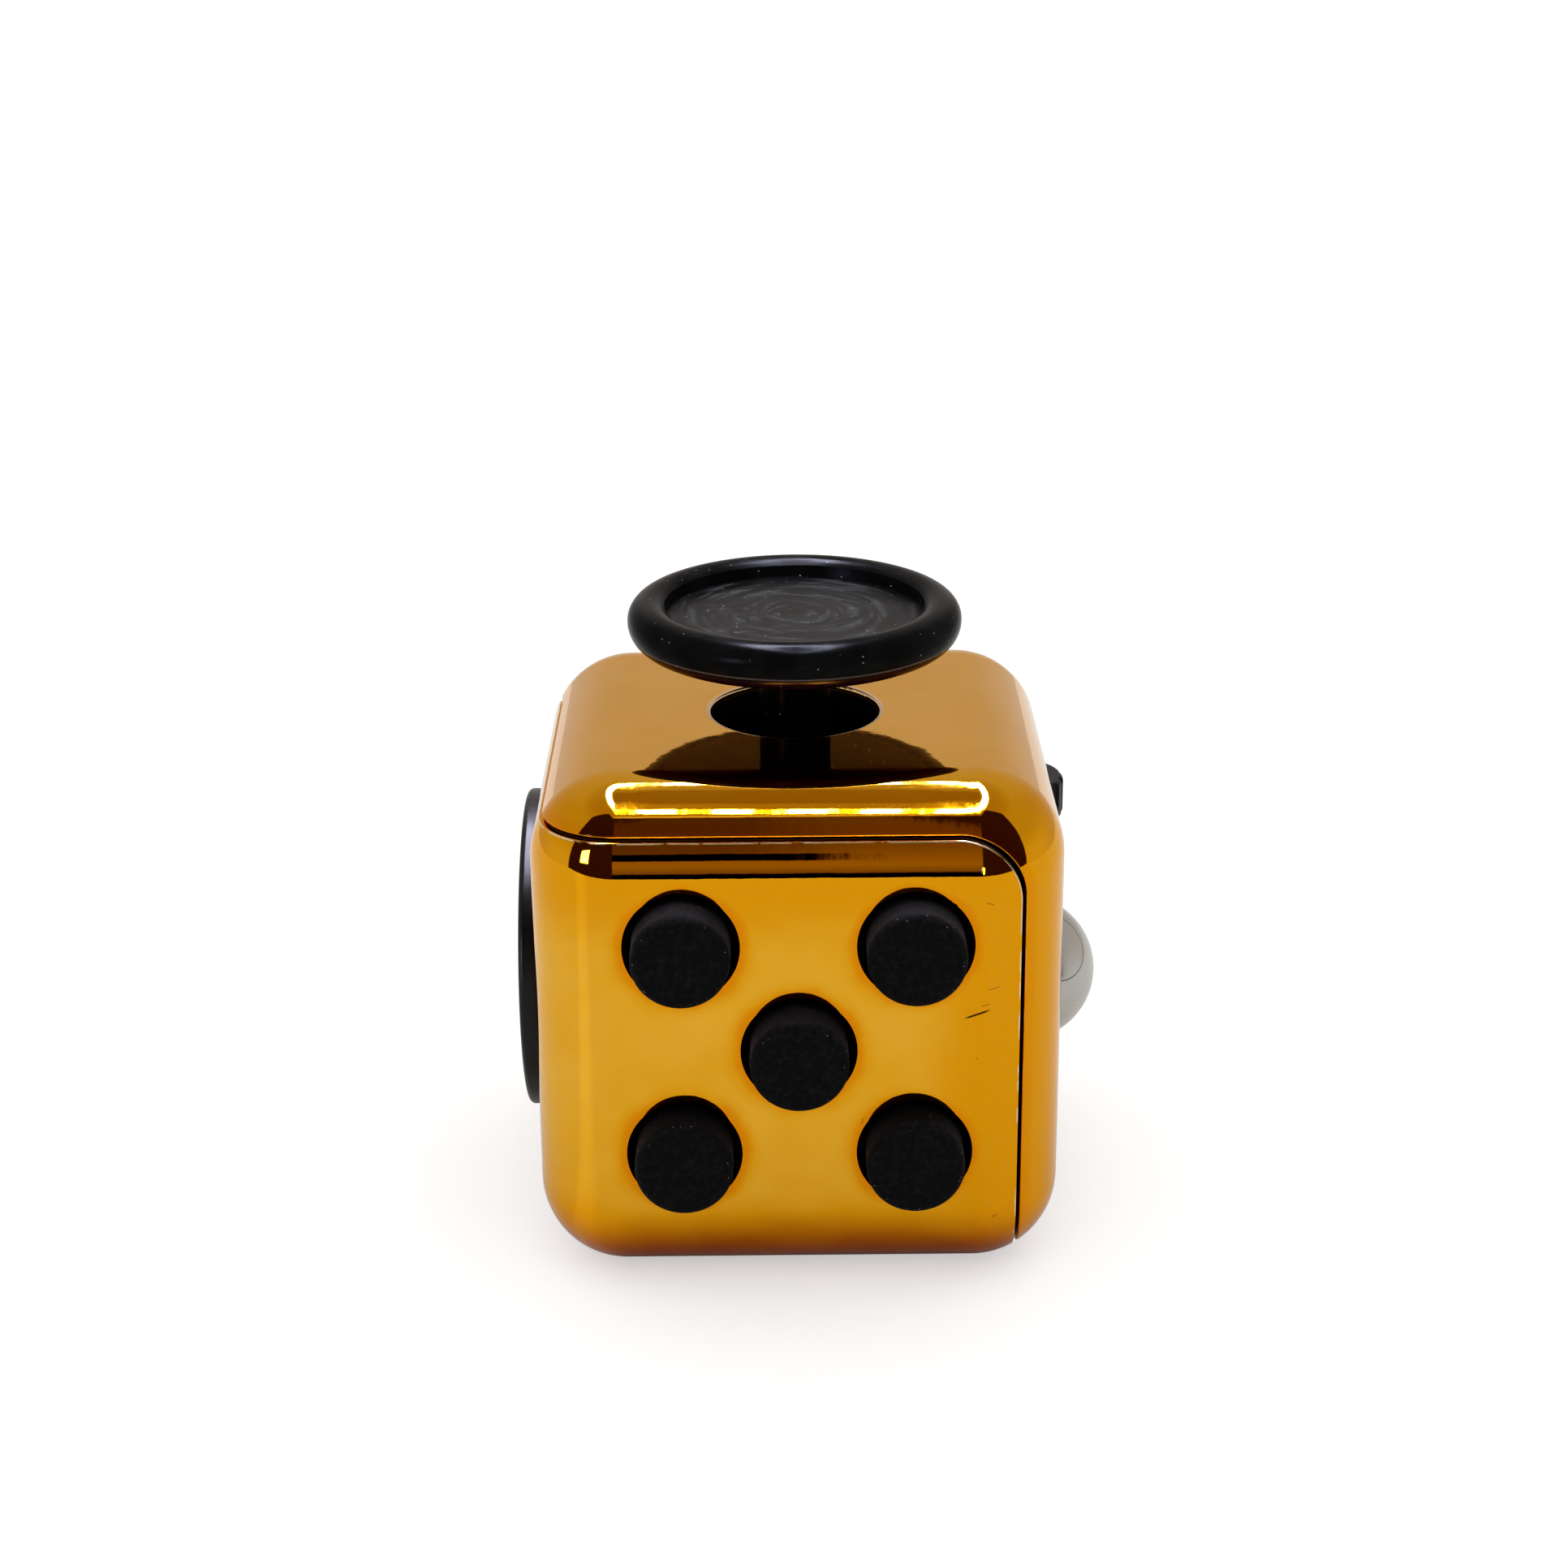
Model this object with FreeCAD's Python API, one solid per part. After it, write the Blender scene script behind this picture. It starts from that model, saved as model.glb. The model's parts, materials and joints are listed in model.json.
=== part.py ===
"""Fidget cube: a two-shell case with a toy on every face.

Front (-Y) has five push buttons, top (+Z) a thumb stick, left (-X) a spin dial, right (+X) a
rolling ball and three gear wheels, back (+Y) a rocker switch and the bottom (-Z) a worry pad.
Everything is drawn about the centre of the cube, and is lifted by half a cube when it is
written, so the finished part stands on z = 0.  Sizes are in millimetres.
"""

import FreeCAD, Part
import math
import os

from FreeCAD import Vector as V

# ---------------------------------------------------------------- driving dimensions
SIDE = 33.0             # the cube, flat to flat
EDGE_R = 5.5            # rounding of its edges and corners
WALL = 1.8              # thickness of the shells
SEAM = 13.7             # the parting planes lie this far right, back and up
SEAM_R = 4.0            # rounding of the parting line where two of the planes meet
SEAM_GAP = 0.2          # open joint between the shells
SEAM_EDGE = 0.12        # rounding of the shells' edges along the joint
LIP = 1.2               # thickness of the locating lip inside the joint
RUN = 0.04              # running clearance of a shaft in its bore, on the radius
PILOT = 0.02            # clearance of a screw's thread in its pilot hole, on the radius
ROOT = 0.3              # how far a post or boss is let into the wall that it grows from
HOLE_EDGE = 0.2         # rounding of the openings in the case

# Screws: head radius, head height, thread radius, length under the head
CASE_SCREW_SIZE = (1.5, 0.9, 0.8, 3.4)
BACKPLATE_SCREW_SIZE = (1.4, 0.8, 0.7, 4.2)
DIAL_SCREW_SIZE = (1.8, 0.9, 0.8, 3.6)
STICK_SCREW_SIZE = (1.4, 0.7, 0.75, 10.6)
PLATE_SCREW_SIZE = (1.4, 0.8, 0.7, 6.4)
BALL_FRAME_SCREW_SIZE = (1.3, 0.8, 0.7, 2.3)
ROCKER_SCREW_SIZE = (1.3, 0.8, 0.7, 2.1)
SCREW_SLOT = 0.35       # width of the cross in a screw's head
THREAD_R = 0.7          # thread of the small screws inside
CLEAR_R = 0.85          # hole that such a screw passes through
CASE_THREAD_R = 0.8
CASE_CLEAR_R = 1.05
CASE_HEAD_WELL_R = 1.8  # well that a case screw's head lies in
STICK_THREAD_R = 0.75
BLIND_WALL = 1.0        # wall left beyond a blind screw hole
THIN_BLIND_WALL = 0.8   # the same for the shortest screws

BUTTON_ACROSS = 7.14    # from the centre button to each outer button, sideways
BUTTON_UP = 6.97        # and up or down
BUTTON_R = 3.05
BUTTON_HOLE_R = 3.48
BUTTON_STANDS_OUT = 2.4
BUTTON_FLANGE_R = 4.15
BUTTON_EDGE = 0.5       # rounding of the cap's face
BUTTON_NUB_R = 1.0
SILENT_DOME = (0.4, 2.2, 1.1)       # wall, foot radius and crown radius of a rubber dome
CLICK_DOME = (0.15, 2.4, 0.9)       # and of a metal one
DOME_FLANGE = 0.5

STICK_HOLE_R = 5.43     # opening in the top wall
STICK_PIVOT_Z = 7.5
STICK_BALL_R = 3.5
STICK_RING_R = 4.5      # outside of the swivel ring around the ball
STICK_STEM_R = 2.29
STICK_NECK_R = 1.5
CAP_R = 10.66
CAP_UNDER_Z = 21.0
CAP_RIM_Z = 24.05
CAP_DISH_R = 8.3
CAP_DISH_Z = 22.95
CAP_EDGE_Z = 23.65      # where the rim meets the wall of the dish
CAP_WIDEST_Z = 22.6
CAP_UNDER_R = 9.0       # flat part of the underside
CAP_CREST_R = 9.35
CAP_DRAFT = 0.15        # slope of the dish's wall
STICK_ROOT_R = 0.5      # fillet where the stem meets the cap
STICK_STEM_FOOT = 5.0   # the stem ends this far above the pivot
STICK_FOOT_R = 2.9
STICK_FOOT_THICK = 0.8
STICK_RING_HALF = 2.2   # half height of the swivel ring
STICK_RING_BORE_R = 2.25
STICK_MOUTH = (2.75, 3.6, 1.6)      # opening in the upper plate: low and high radius, height
STICK_POST_R = 1.7      # posts under the top wall for the plates' screws
STICK_THROAT_R = 3.1    # opening between the seat and the well
STICK_SPRING = (0.3, 2.2, 3.5)      # wire radius, coil radius, turns
BASE_R = 6.0            # outside of the stick's lower housing
BASE_FLOOR_Z = -2.3
WELL_R = 5.1            # room for the stick's foot and spring
PLATE_HALF = 8.8        # half width of the square plates that carry the stick
PLATE_SCREW = 6.8
PLATE_CORNER_R = 2.0
BASE_FLOOR = 1.2        # thickness of the well's floor

DIAL_R = 10.45
DIAL_RECESS_R = 10.8
DIAL_RECESS = 0.6
DIAL_FACE_X = -17.65
DIAL_HUB_R = 2.5
DIAL_BOSS_R = 4.6
DIAL_EDGE = 0.35        # rounding of the disc's face
DIAL_RECESS_EDGE = 0.15
DIAL_RIM = 1.5          # width of the raised rim
DIAL_DISH = 0.4         # the face lies this far below the rim
DIAL_FINGER_R = 4.5     # sphere that the finger hollow is scooped with
DIAL_FINGER_DEPTH = 0.75
DIAL_FINGER_Z = 5.2
DIAL_BORE = 3.4         # depth of the screw hole in the hub
DIAL_WASHER_R, DIAL_WASHER_BORE_R = 4.2, 0.9
DIAL_WASHER_THICK = 0.6

BALL_X, BALL_Y = 14.55, -4.2
BALL_R = 4.76
BALL_FIT = 0.08
BALL_FRAME_SCREW_Y = (-8.2, 0.4)
BALL_FRAME_SCREW_Z = 8.2
BALL_POST_R = 1.8       # posts on the right wall for those screws
CUP_R, CUP_PIN_R = 4.4, 1.0
CUP_FIT = 0.07          # room around the ball in its cup
PLUNGER_R = 4.6
BALL_SPRING = (0.2, 3.4, 1.5)       # wire radius, coil radius, turns
FRAME_FLANGE_X = 13.2   # inner face of the ball frame's flange
FRAME_FLANGE_LOW = (-10.0, -10.2)   # y and z of the flange's corners
FRAME_FLANGE_HIGH = (2.2, 10.2)
FRAME_FLANGE_R = 1.5
FRAME_BACK_X = 8.8      # strip behind the gears, and the face the ribs grow from
FRAME_BACK_THICK = 1.05
FRAME_BACK_Y = (0.2, 10.6)
FRAME_BACK_HALF_Z = 10.7
FRAME_RIB_Y = (4.6, 8.6)
FRAME_RIB_X = 14.6
FRAME_RIB_Z, FRAME_RIB_HALF = 4.0, 1.4
FRAME_END_RIB_Z, FRAME_END_RIB_HALF = 10.1, 0.6
FRAME_LINK_X, FRAME_LINK_Y = 14.0, 1.8

GEAR_X, GEAR_Y = 14.4, 6.6
GEAR_PITCH_Z = 8.0
GEAR_R = 3.7
GEAR_WIDTH = 2.75
GEAR_TEETH = 16
GEAR_AXLE_R = 0.8
GEAR_GAP = 0.3
GEAR_EDGE = 0.4         # rounding of a wheel's rims
GEAR_NOTCH_R = 0.42     # groove between two teeth
GEAR_NOTCH_OUT = 0.1    # the grooves are centred this far outside the wheel
GEAR_AXLE_HALF = 10.7
LEAF_X, LEAF_THICK = 9.85, 0.2
LEAF_Y = (3.2, 10.0)
LEAF_HALF = 1.0
LEAF_RIB_R = 0.25

ROCKER_PIVOT_Y = 13.0
ROCKER_TILT = 12.0      # degrees to either side of the middle
ROCKER_HALF_X, ROCKER_HALF_Z = 4.15, 5.6
ROCKER_PIN_R = 0.75
ROCKER_TRACK_R = 4.3
ROCKER_TOP, ROCKER_SIDE, ROCKER_LOW = 3.5, 4.1, 1.0     # middle, ends and underside over the pivot
ROCKER_BELLY = 2.2      # the underside drops this far in the middle
ROCKER_BELLY_HALF = 2.4
ROCKER_EDGE = 0.4
ROCKER_POST_R, ROCKER_POST = 1.6, 3.0
ROCKER_PIN_FIT = 0.05
ROCKER_PIN_HALF = 5.9
ROCKER_WINDOW_X, ROCKER_WINDOW_Z = 4.5, 6.6             # half size of the opening in the back wall
ROCKER_SCREW_X, ROCKER_SCREW_Z = 8.0, 5.0
ROCKER_PLUNGER_R = 0.9
ROCKER_PLUNGER_HEAD = 2.4   # the plunger ends this far inside the pivot
ROCKER_BORE_TOP = 1.3       # and its bore this far
ROCKER_SPRING = (0.15, 0.6, 2.5)    # wire radius, coil radius, turns
ROCKER_SPRING_LENGTH = 1.1
TRAY_X, TRAY_Z = 6.0, 7.4   # half size of the rocker's housing
TRAY_FLOOR_Y = 7.9
TRAY_ROOM_X, TRAY_ROOM_Z = 4.5, 6.8
TRAY_ROOM_Y = 11.3
TRAY_GAP = 0.05             # between the housing and the back wall
TRACK_HALF_X, TRACK_HALF_Z = 2.2, 3.4
EAR_X, EAR_HALF, EAR_THICK = 9.4, 1.5, 1.2

PAD_HALF = 8.8
PAD_RECESS = 1.6
PAD_HOLLOW_R, PAD_HOLLOW_DEPTH = 7.6, 0.8
PAD_SHY = 0.2           # the pad lies this far inside the bottom face
PAD_GAP = 0.2           # between the pad and its recess
PAD_CORNER_R, PAD_EDGE = 3.0, 0.3
SLAB_HALF, SLAB_CORNER_R, SLAB_THICK = 10.6, 3.0, 2.0   # thickened floor around the pad
CASE_HEAD_SEAT = 1.1    # the case screws' heads sit this far above the pad
TAB_R, TAB_TOP_Z = 2.2, -10.9       # tabs of the rear shell that take the case screws
TAB_GAP = 0.15
LIP_REACH = 1.2         # the locating lip laps this far inside the front shell
LIP_GAP = 0.15
CASE_SCREW = 7.0        # the case screws stand on a square of this half width

HALF = SIDE / 2
INNER = HALF - WALL
X, Y, Z = V(1, 0, 0), V(0, 1, 0), V(0, 0, 1)
BUTTONS = {
    "top_left": (-BUTTON_ACROSS, BUTTON_UP),
    "top_right": (BUTTON_ACROSS, BUTTON_UP),
    "centre": (0, 0),
    "bottom_left": (-BUTTON_ACROSS, -BUTTON_UP),
    "bottom_right": (BUTTON_ACROSS, -BUTTON_UP),
}
SILENT_BUTTONS = ("top_right", "bottom_left")
GEARS = {"top": GEAR_PITCH_Z, "middle": 0, "bottom": -GEAR_PITCH_Z}

# Levels along y behind the front wall
BUTTON_FLANGE_Y = -INNER + 0.05
BUTTON_BACK_Y = BUTTON_FLANGE_Y + 0.9
BACKPLATE_HALF, BACKPLATE_CORNER_R = 11.3, 3.0
BACKPLATE_VENT_R = 0.6
BACKPLATE_POST_R = 1.6
BUTTON_NUB_Y = BUTTON_BACK_Y + 0.3
BACKPLATE_Y = BUTTON_NUB_Y + 1.2
BACKPLATE_THICK = 1.2
BACKPLATE_SCREW = 10.0

# Levels along x behind the left wall
DIAL_BACK_X = -HALF + DIAL_RECESS - 0.1
DIAL_BOSS_X = -12.7
DIAL_HUB_X = DIAL_BOSS_X + 0.2

# Levels along x behind the right wall
BALL_SEAT_R = BALL_R + BALL_FIT
CUP_BACK_X, CUP_MOUTH_X = 8.9, 11.8
PLUNGER_BACK_X = 8.1
BARREL_FLOOR_X, BARREL_END_X = 7.0, 14.3
BARREL_R = 5.6


# ---------------------------------------------------------------- small helpers
def cyl(radius, start, end, axis, a=0.0, b=0.0):
    """A cylinder from start to end along an axis; a, b place it across the axis."""
    base = {"X": V(start, a, b), "Y": V(a, start, b), "Z": V(a, b, start)}[axis]
    return Part.makeCylinder(radius, end - start, base, {"X": X, "Y": Y, "Z": Z}[axis])


def box(low, high):
    """A box between two corners."""
    size = [h - l for l, h in zip(low, high)]
    return Part.makeBox(size[0], size[1], size[2], V(*low))


def rounded_box(low, high, radius, axis):
    """A box whose edges along one axis are rounded."""
    solid = box(low, high)
    along = {"X": X, "Y": Y, "Z": Z}[axis]
    edges = [e for e in solid.Edges if abs(e.tangentAt(e.FirstParameter).dot(along)) > 0.99]
    return solid.makeFillet(radius, edges)


def ball(radius, centre):
    return Part.makeSphere(radius, centre)


def turned(profile, axis_point, axis):
    """Revolve a closed profile, given as edges or as corner points, by a full turn."""
    if isinstance(profile[0], V):
        wire = Part.makePolygon(list(profile) + [profile[0]])
    else:
        wire = Part.Wire(Part.__sortEdges__(profile))
    return Part.Face(wire).revolve(axis_point, axis, 360)


def join(first, *others):
    return first.fuse(list(others)).removeSplitter()


def soften_circles(solid, radius, size, level, axis):
    """Round the circular edges of one radius that lie at one level along an axis."""
    chosen = [e for e in solid.Edges if is_circle(e, radius, level, axis)]
    return solid.makeFillet(size, chosen)


def is_circle(edge, radius, level, axis):
    if edge.Degenerated:
        return False
    curve = edge.Curve
    if not isinstance(curve, Part.Circle) or abs(curve.Radius - radius) > 1e-4:
        return False
    return abs(getattr(curve.Center, axis.lower()) - level) < 1e-4


def screw(size, place, direction):
    """A pan-head screw: place is under the head, direction points along the shank."""
    head_r, head_h, shank_r, length = size
    head = Part.makeCylinder(head_r, head_h, V(0, 0, -head_h))
    head = head.makeFillet(head_h * 0.3, [e for e in head.Edges if is_circle(e, head_r, -head_h, "Z")])
    drive = Part.makeBox(head_r * 1.3, SCREW_SLOT, head_h * 0.5, V(-head_r * 0.65, -SCREW_SLOT / 2, -head_h))
    cross = drive.copy()
    cross.rotate(V(0, 0, 0), Z, 90)
    shank = Part.makeCylinder(shank_r, length - shank_r, V(0, 0, 0))
    tip = Part.makeCone(shank_r, shank_r * 0.4, shank_r, V(0, 0, length - shank_r))
    solid = join(head, shank, tip).cut([drive, cross])
    solid.Placement = FreeCAD.Placement(place, FreeCAD.Rotation(Z, direction))
    return solid


def coil(size, height, place, axis):
    """A round-wire compression spring that stands on a plane and has open ends."""
    wire_r, coil_r, turns = size
    rise = height - 2 * wire_r
    steps = int(24 * turns)
    points = []
    for i in range(steps + 1):
        angle = 2 * math.pi * turns * i / steps
        points.append(V(coil_r * math.cos(angle), coil_r * math.sin(angle), wire_r + rise * i / steps))
    curve = Part.BSplineCurve()
    curve.interpolate(points)
    path = curve.toShape()
    section = Part.Wire(Part.makeCircle(wire_r, points[0], path.tangentAt(path.FirstParameter)))
    solid = Part.Wire(path).makePipeShell([section], True, False)
    solid.Placement = FreeCAD.Placement(place, FreeCAD.Rotation(Z, axis))
    return solid


# ---------------------------------------------------------------- case
def cube_solid(half, edge_radius):
    block = box((-half,) * 3, (half,) * 3)
    return block.makeFillet(edge_radius, block.Edges)


def seam_block(reach):
    """The corner of space that belongs to the front shell; its far edges are rounded."""
    block = box((-40,) * 3, (reach,) * 3)
    far = [e for e in block.Edges if sum(abs(v - reach) < 1e-6 for v in e.CenterOfMass) == 2]
    return block.makeFillet(SEAM_R, far)


def walls():
    return cube_solid(HALF, EDGE_R).cut(cube_solid(INNER, EDGE_R - WALL))


def on_cube_surface(point):
    """Is the point on the outside of the case?"""
    past = [max(abs(v) - (HALF - EDGE_R), 0) for v in (point.x, point.y, point.z)]
    return abs(math.sqrt(sum(v * v for v in past)) - EDGE_R) < 1e-3


def soften_joint(shell):
    """Round the outer edges of a shell that follow the parting line."""
    chosen = []
    for edge in shell.Edges:
        if edge.Degenerated:
            continue
        span = edge.LastParameter - edge.FirstParameter
        points = [edge.valueAt(edge.FirstParameter + span * part) for part in (0.1, 0.5, 0.9)]
        near_joint = all(abs(max(p.x, p.y, p.z) - SEAM) < SEAM_R * 0.35 for p in points)
        if near_joint and all(on_cube_surface(p) for p in points):
            chosen.append(edge)
    return shell.makeFillet(SEAM_EDGE, chosen)


def locating_lip():
    """A thin skin on the rear shell that laps inside the front shell along the joint."""
    inside = cube_solid(INNER, EDGE_R - WALL)
    core = cube_solid(INNER - LIP, EDGE_R - WALL - LIP)
    corner = HALF - EDGE_R
    near = inside.cut(core).cut(box((-corner,) * 3, (40,) * 3)).cut(seam_block(SEAM - LIP_REACH))
    loose = cube_solid(INNER - LIP_GAP, EDGE_R - WALL - LIP_GAP)
    return near.cut(seam_block(SEAM + SEAM_GAP / 2).cut(loose))


def button_hole(a, b):
    return cyl(BUTTON_HOLE_R, -HALF - 1, -INNER + 1, "Y", a, b)


def backplate_screw_places():
    return [(0, BACKPLATE_SCREW), (0, -BACKPLATE_SCREW), (BACKPLATE_SCREW, 0), (-BACKPLATE_SCREW, 0)]


def corner_places(pitch):
    return [(i * pitch, j * pitch) for i in (-1, 1) for j in (-1, 1)]


def case_screw_places():
    return [(CASE_SCREW, CASE_SCREW), (-CASE_SCREW, CASE_SCREW), (CASE_SCREW, -CASE_SCREW)]


PAD_FLOOR_Z = -HALF + PAD_RECESS
SLAB_TOP_Z = PAD_FLOOR_Z + SLAB_THICK
CASE_HEAD_Z = PAD_FLOOR_Z + CASE_HEAD_SEAT


def front_shell():
    """Front, left and bottom walls in one moulding."""
    shell = soften_joint(walls().common(seam_block(SEAM - SEAM_GAP / 2)))
    slab = rounded_box((-SLAB_HALF, -SLAB_HALF, -INNER - 0.5), (SLAB_HALF, SLAB_HALF, SLAB_TOP_Z),
                       SLAB_CORNER_R, "Z")
    boss = cyl(DIAL_BOSS_R, -INNER - ROOT, DIAL_BOSS_X, "X")
    posts = [cyl(BACKPLATE_POST_R, -INNER - ROOT, BACKPLATE_Y, "Y", a, b)
             for a, b in backplate_screw_places()]
    shell = join(shell, slab, boss, *posts)
    cuts = [button_hole(a, b) for a, b in BUTTONS.values()]
    cuts += [cyl(THREAD_R + PILOT, -HALF + BLIND_WALL, BACKPLATE_Y + 1, "Y", a, b)
             for a, b in backplate_screw_places()]
    cuts += [cyl(DIAL_RECESS_R, -HALF - 1, -HALF + DIAL_RECESS, "X")]
    cuts += [cyl(DIAL_HUB_R + RUN, -HALF - 1, DIAL_BOSS_X + 1, "X")]
    recess = PAD_HALF + PAD_GAP
    cuts += [rounded_box((-recess, -recess, -HALF - 1), (recess, recess, PAD_FLOOR_Z),
                         PAD_CORNER_R + PAD_GAP, "Z")]
    cuts += [cyl(CASE_CLEAR_R, PAD_FLOOR_Z - 1, SLAB_TOP_Z + 1, "Z", a, b) for a, b in case_screw_places()]
    cuts += [cyl(CASE_HEAD_WELL_R, PAD_FLOOR_Z - 1, CASE_HEAD_Z, "Z", a, b) for a, b in case_screw_places()]
    shell = shell.cut(cuts)
    shell = soften_circles(shell, BUTTON_HOLE_R, HOLE_EDGE, -HALF, "Y")
    return soften_circles(shell, DIAL_RECESS_R, DIAL_RECESS_EDGE, -HALF, "X")


def case_tab(a, b):
    """A tab on the rear shell that takes one case screw; it reaches the nearer wall."""
    low, high = SLAB_TOP_Z + TAB_GAP, TAB_TOP_Z
    tab = cyl(TAB_R, low, high, "Z", a, b)
    if b > 0:
        arm = box((a - TAB_R, b, low), (a + TAB_R, INNER + 0.4, high))
    else:
        arm = box((a, b - TAB_R, low), (INNER + 0.4, b + TAB_R, high))
    return join(tab, arm)


def ball_frame_screw_places():
    return [(y, z) for y in BALL_FRAME_SCREW_Y for z in (-BALL_FRAME_SCREW_Z, BALL_FRAME_SCREW_Z)]


def rocker_screw_places():
    return [(i * ROCKER_SCREW_X, j * ROCKER_SCREW_Z) for i in (-1, 1) for j in (-1, 1)]


def rear_shell():
    """Top, right and back walls in one moulding."""
    shell = soften_joint(walls().cut(seam_block(SEAM + SEAM_GAP / 2)))
    parts = [locating_lip()]
    parts += [case_tab(a, b) for a, b in case_screw_places()]
    parts += [cyl(STICK_POST_R, STICK_PLATE_TOP_Z, INNER + ROOT, "Z", a, b)
              for a, b in corner_places(PLATE_SCREW)]
    parts += [cyl(BALL_POST_R, BARREL_END_X, INNER + ROOT, "X", y, z) for y, z in ball_frame_screw_places()]
    shell = join(shell, *parts)
    cuts = [cyl(STICK_HOLE_R, INNER - 1, HALF + 1, "Z")]
    cuts += [cyl(THREAD_R + PILOT, STICK_PLATE_TOP_Z - 1, HALF - BLIND_WALL, "Z", a, b)
             for a, b in corner_places(PLATE_SCREW)]
    cuts += [cyl(CASE_THREAD_R + PILOT, SLAB_TOP_Z, TAB_TOP_Z + 1, "Z", a, b) for a, b in case_screw_places()]
    cuts += [cyl(THREAD_R + PILOT, BARREL_END_X - 1, HALF - THIN_BLIND_WALL, "X", y, z)
             for y, z in ball_frame_screw_places()]
    cuts += [cyl(THREAD_R + PILOT, INNER - 1, HALF - THIN_BLIND_WALL, "Y", x, z)
             for x, z in rocker_screw_places()]
    cuts += [ball(BALL_SEAT_R, V(BALL_X, BALL_Y, 0))]
    cuts += [cyl(BALL_SEAT_R, INNER - 1, BALL_X, "X", BALL_Y, 0)]
    cuts += [cyl(GEAR_R + GEAR_GAP, z - GEAR_WIDTH / 2 - GEAR_GAP, z + GEAR_WIDTH / 2 + GEAR_GAP,
                 "Z", GEAR_X, GEAR_Y) for z in GEARS.values()]
    axle_room = GEAR_AXLE_HALF + 0.1
    cuts += [cyl(GEAR_AXLE_R + PILOT, -axle_room, axle_room, "Z", GEAR_X, GEAR_Y)]
    cuts += [box((-ROCKER_WINDOW_X, INNER - 1, -ROCKER_WINDOW_Z),
                 (ROCKER_WINDOW_X, HALF + 1, ROCKER_WINDOW_Z))]
    shell = shell.cut(cuts)
    return soften_circles(shell, STICK_HOLE_R, HOLE_EDGE, HALF, "Z")


def case_screws():
    screws = [screw(CASE_SCREW_SIZE, V(a, b, CASE_HEAD_Z), Z) for a, b in case_screw_places()]
    return Part.makeCompound(screws)


def worry_pad():
    """A soft square pad with a shallow hollow for the thumb."""
    face = -HALF + PAD_SHY
    pad = rounded_box((-PAD_HALF, -PAD_HALF, face), (PAD_HALF, PAD_HALF, PAD_FLOOR_Z), PAD_CORNER_R, "Z")
    rim = [e for e in pad.Edges if abs(e.BoundBox.ZMax - face) < 1e-4]
    pad = pad.makeFillet(PAD_EDGE, rim)
    sphere_r = (PAD_HOLLOW_R ** 2 + PAD_HOLLOW_DEPTH ** 2) / (2 * PAD_HOLLOW_DEPTH)
    return pad.cut(ball(sphere_r, V(0, 0, face + PAD_HOLLOW_DEPTH - sphere_r)))


# ---------------------------------------------------------------- push buttons
def button(a, b):
    """A soft button: round cap, flange behind the wall and a nub that presses the dome."""
    cap = cyl(BUTTON_R, -HALF - BUTTON_STANDS_OUT, BUTTON_FLANGE_Y + 0.4, "Y", a, b)
    cap = soften_circles(cap, BUTTON_R, BUTTON_EDGE, -HALF - BUTTON_STANDS_OUT, "Y")
    flange = cyl(BUTTON_FLANGE_R, BUTTON_FLANGE_Y, BUTTON_BACK_Y, "Y", a, b)
    nub = cyl(BUTTON_NUB_R, BUTTON_BACK_Y - ROOT, BUTTON_NUB_Y, "Y", a, b)
    return join(cap, flange, nub)


def dome(a, b, size):
    """A hollow dome between the nub and the backplate, drawn as a turned section."""
    thick, base_r, top_r = size
    top, foot = BUTTON_NUB_Y, BACKPLATE_Y
    profile = [
        V(a, top, b),
        V(a + top_r, top, b),
        V(a + base_r, foot - thick, b),
        V(a + base_r + DOME_FLANGE, foot - thick, b),
        V(a + base_r + DOME_FLANGE, foot, b),
        V(a + base_r - thick, foot, b),
        V(a + top_r - thick * 0.6, top + thick, b),
        V(a, top + thick, b),
    ]
    return turned(profile, V(a, 0, b), Y)


def button_backplate():
    back = BACKPLATE_Y + BACKPLATE_THICK
    half = BACKPLATE_HALF
    plate = rounded_box((-half, BACKPLATE_Y, -half), (half, back, half), BACKPLATE_CORNER_R, "Y")
    holes = [cyl(CLEAR_R, BACKPLATE_Y - 1, back + 1, "Y", a, b) for a, b in backplate_screw_places()]
    vents = [cyl(BACKPLATE_VENT_R, BACKPLATE_Y - 1, back + 1, "Y", a, b) for a, b in BUTTONS.values()]
    return plate.cut(holes + vents)


def button_plate_screws():
    back = BACKPLATE_Y + BACKPLATE_THICK
    return Part.makeCompound(
        [screw(BACKPLATE_SCREW_SIZE, V(a, back, b), -Y) for a, b in backplate_screw_places()])


# ---------------------------------------------------------------- spin dial
def spin_dial():
    """A disc with a raised rim and an off-centre finger hollow, on a hollow hub."""
    disc = cyl(DIAL_R, DIAL_FACE_X, DIAL_BACK_X, "X")
    disc = soften_circles(disc, DIAL_R, DIAL_EDGE, DIAL_FACE_X, "X")
    hub = cyl(DIAL_HUB_R, DIAL_BACK_X - 0.5, DIAL_HUB_X, "X")
    solid = join(disc, hub)
    face = DIAL_FACE_X + DIAL_DISH
    inside = cyl(DIAL_R - DIAL_RIM, DIAL_FACE_X - 1, face, "X")
    finger = ball(DIAL_FINGER_R, V(face - DIAL_FINGER_R + DIAL_FINGER_DEPTH, 0, DIAL_FINGER_Z))
    bore = cyl(CASE_THREAD_R + PILOT, DIAL_HUB_X - DIAL_BORE, DIAL_HUB_X + 1, "X")
    return solid.cut([inside, finger, bore])


def dial_washer():
    disc = cyl(DIAL_WASHER_R, DIAL_HUB_X, DIAL_HUB_X + DIAL_WASHER_THICK, "X")
    return disc.cut(cyl(DIAL_WASHER_BORE_R, -SIDE, 0, "X"))


def dial_screw():
    return screw(DIAL_SCREW_SIZE, V(DIAL_HUB_X + DIAL_WASHER_THICK, 0, 0), -X)


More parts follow.
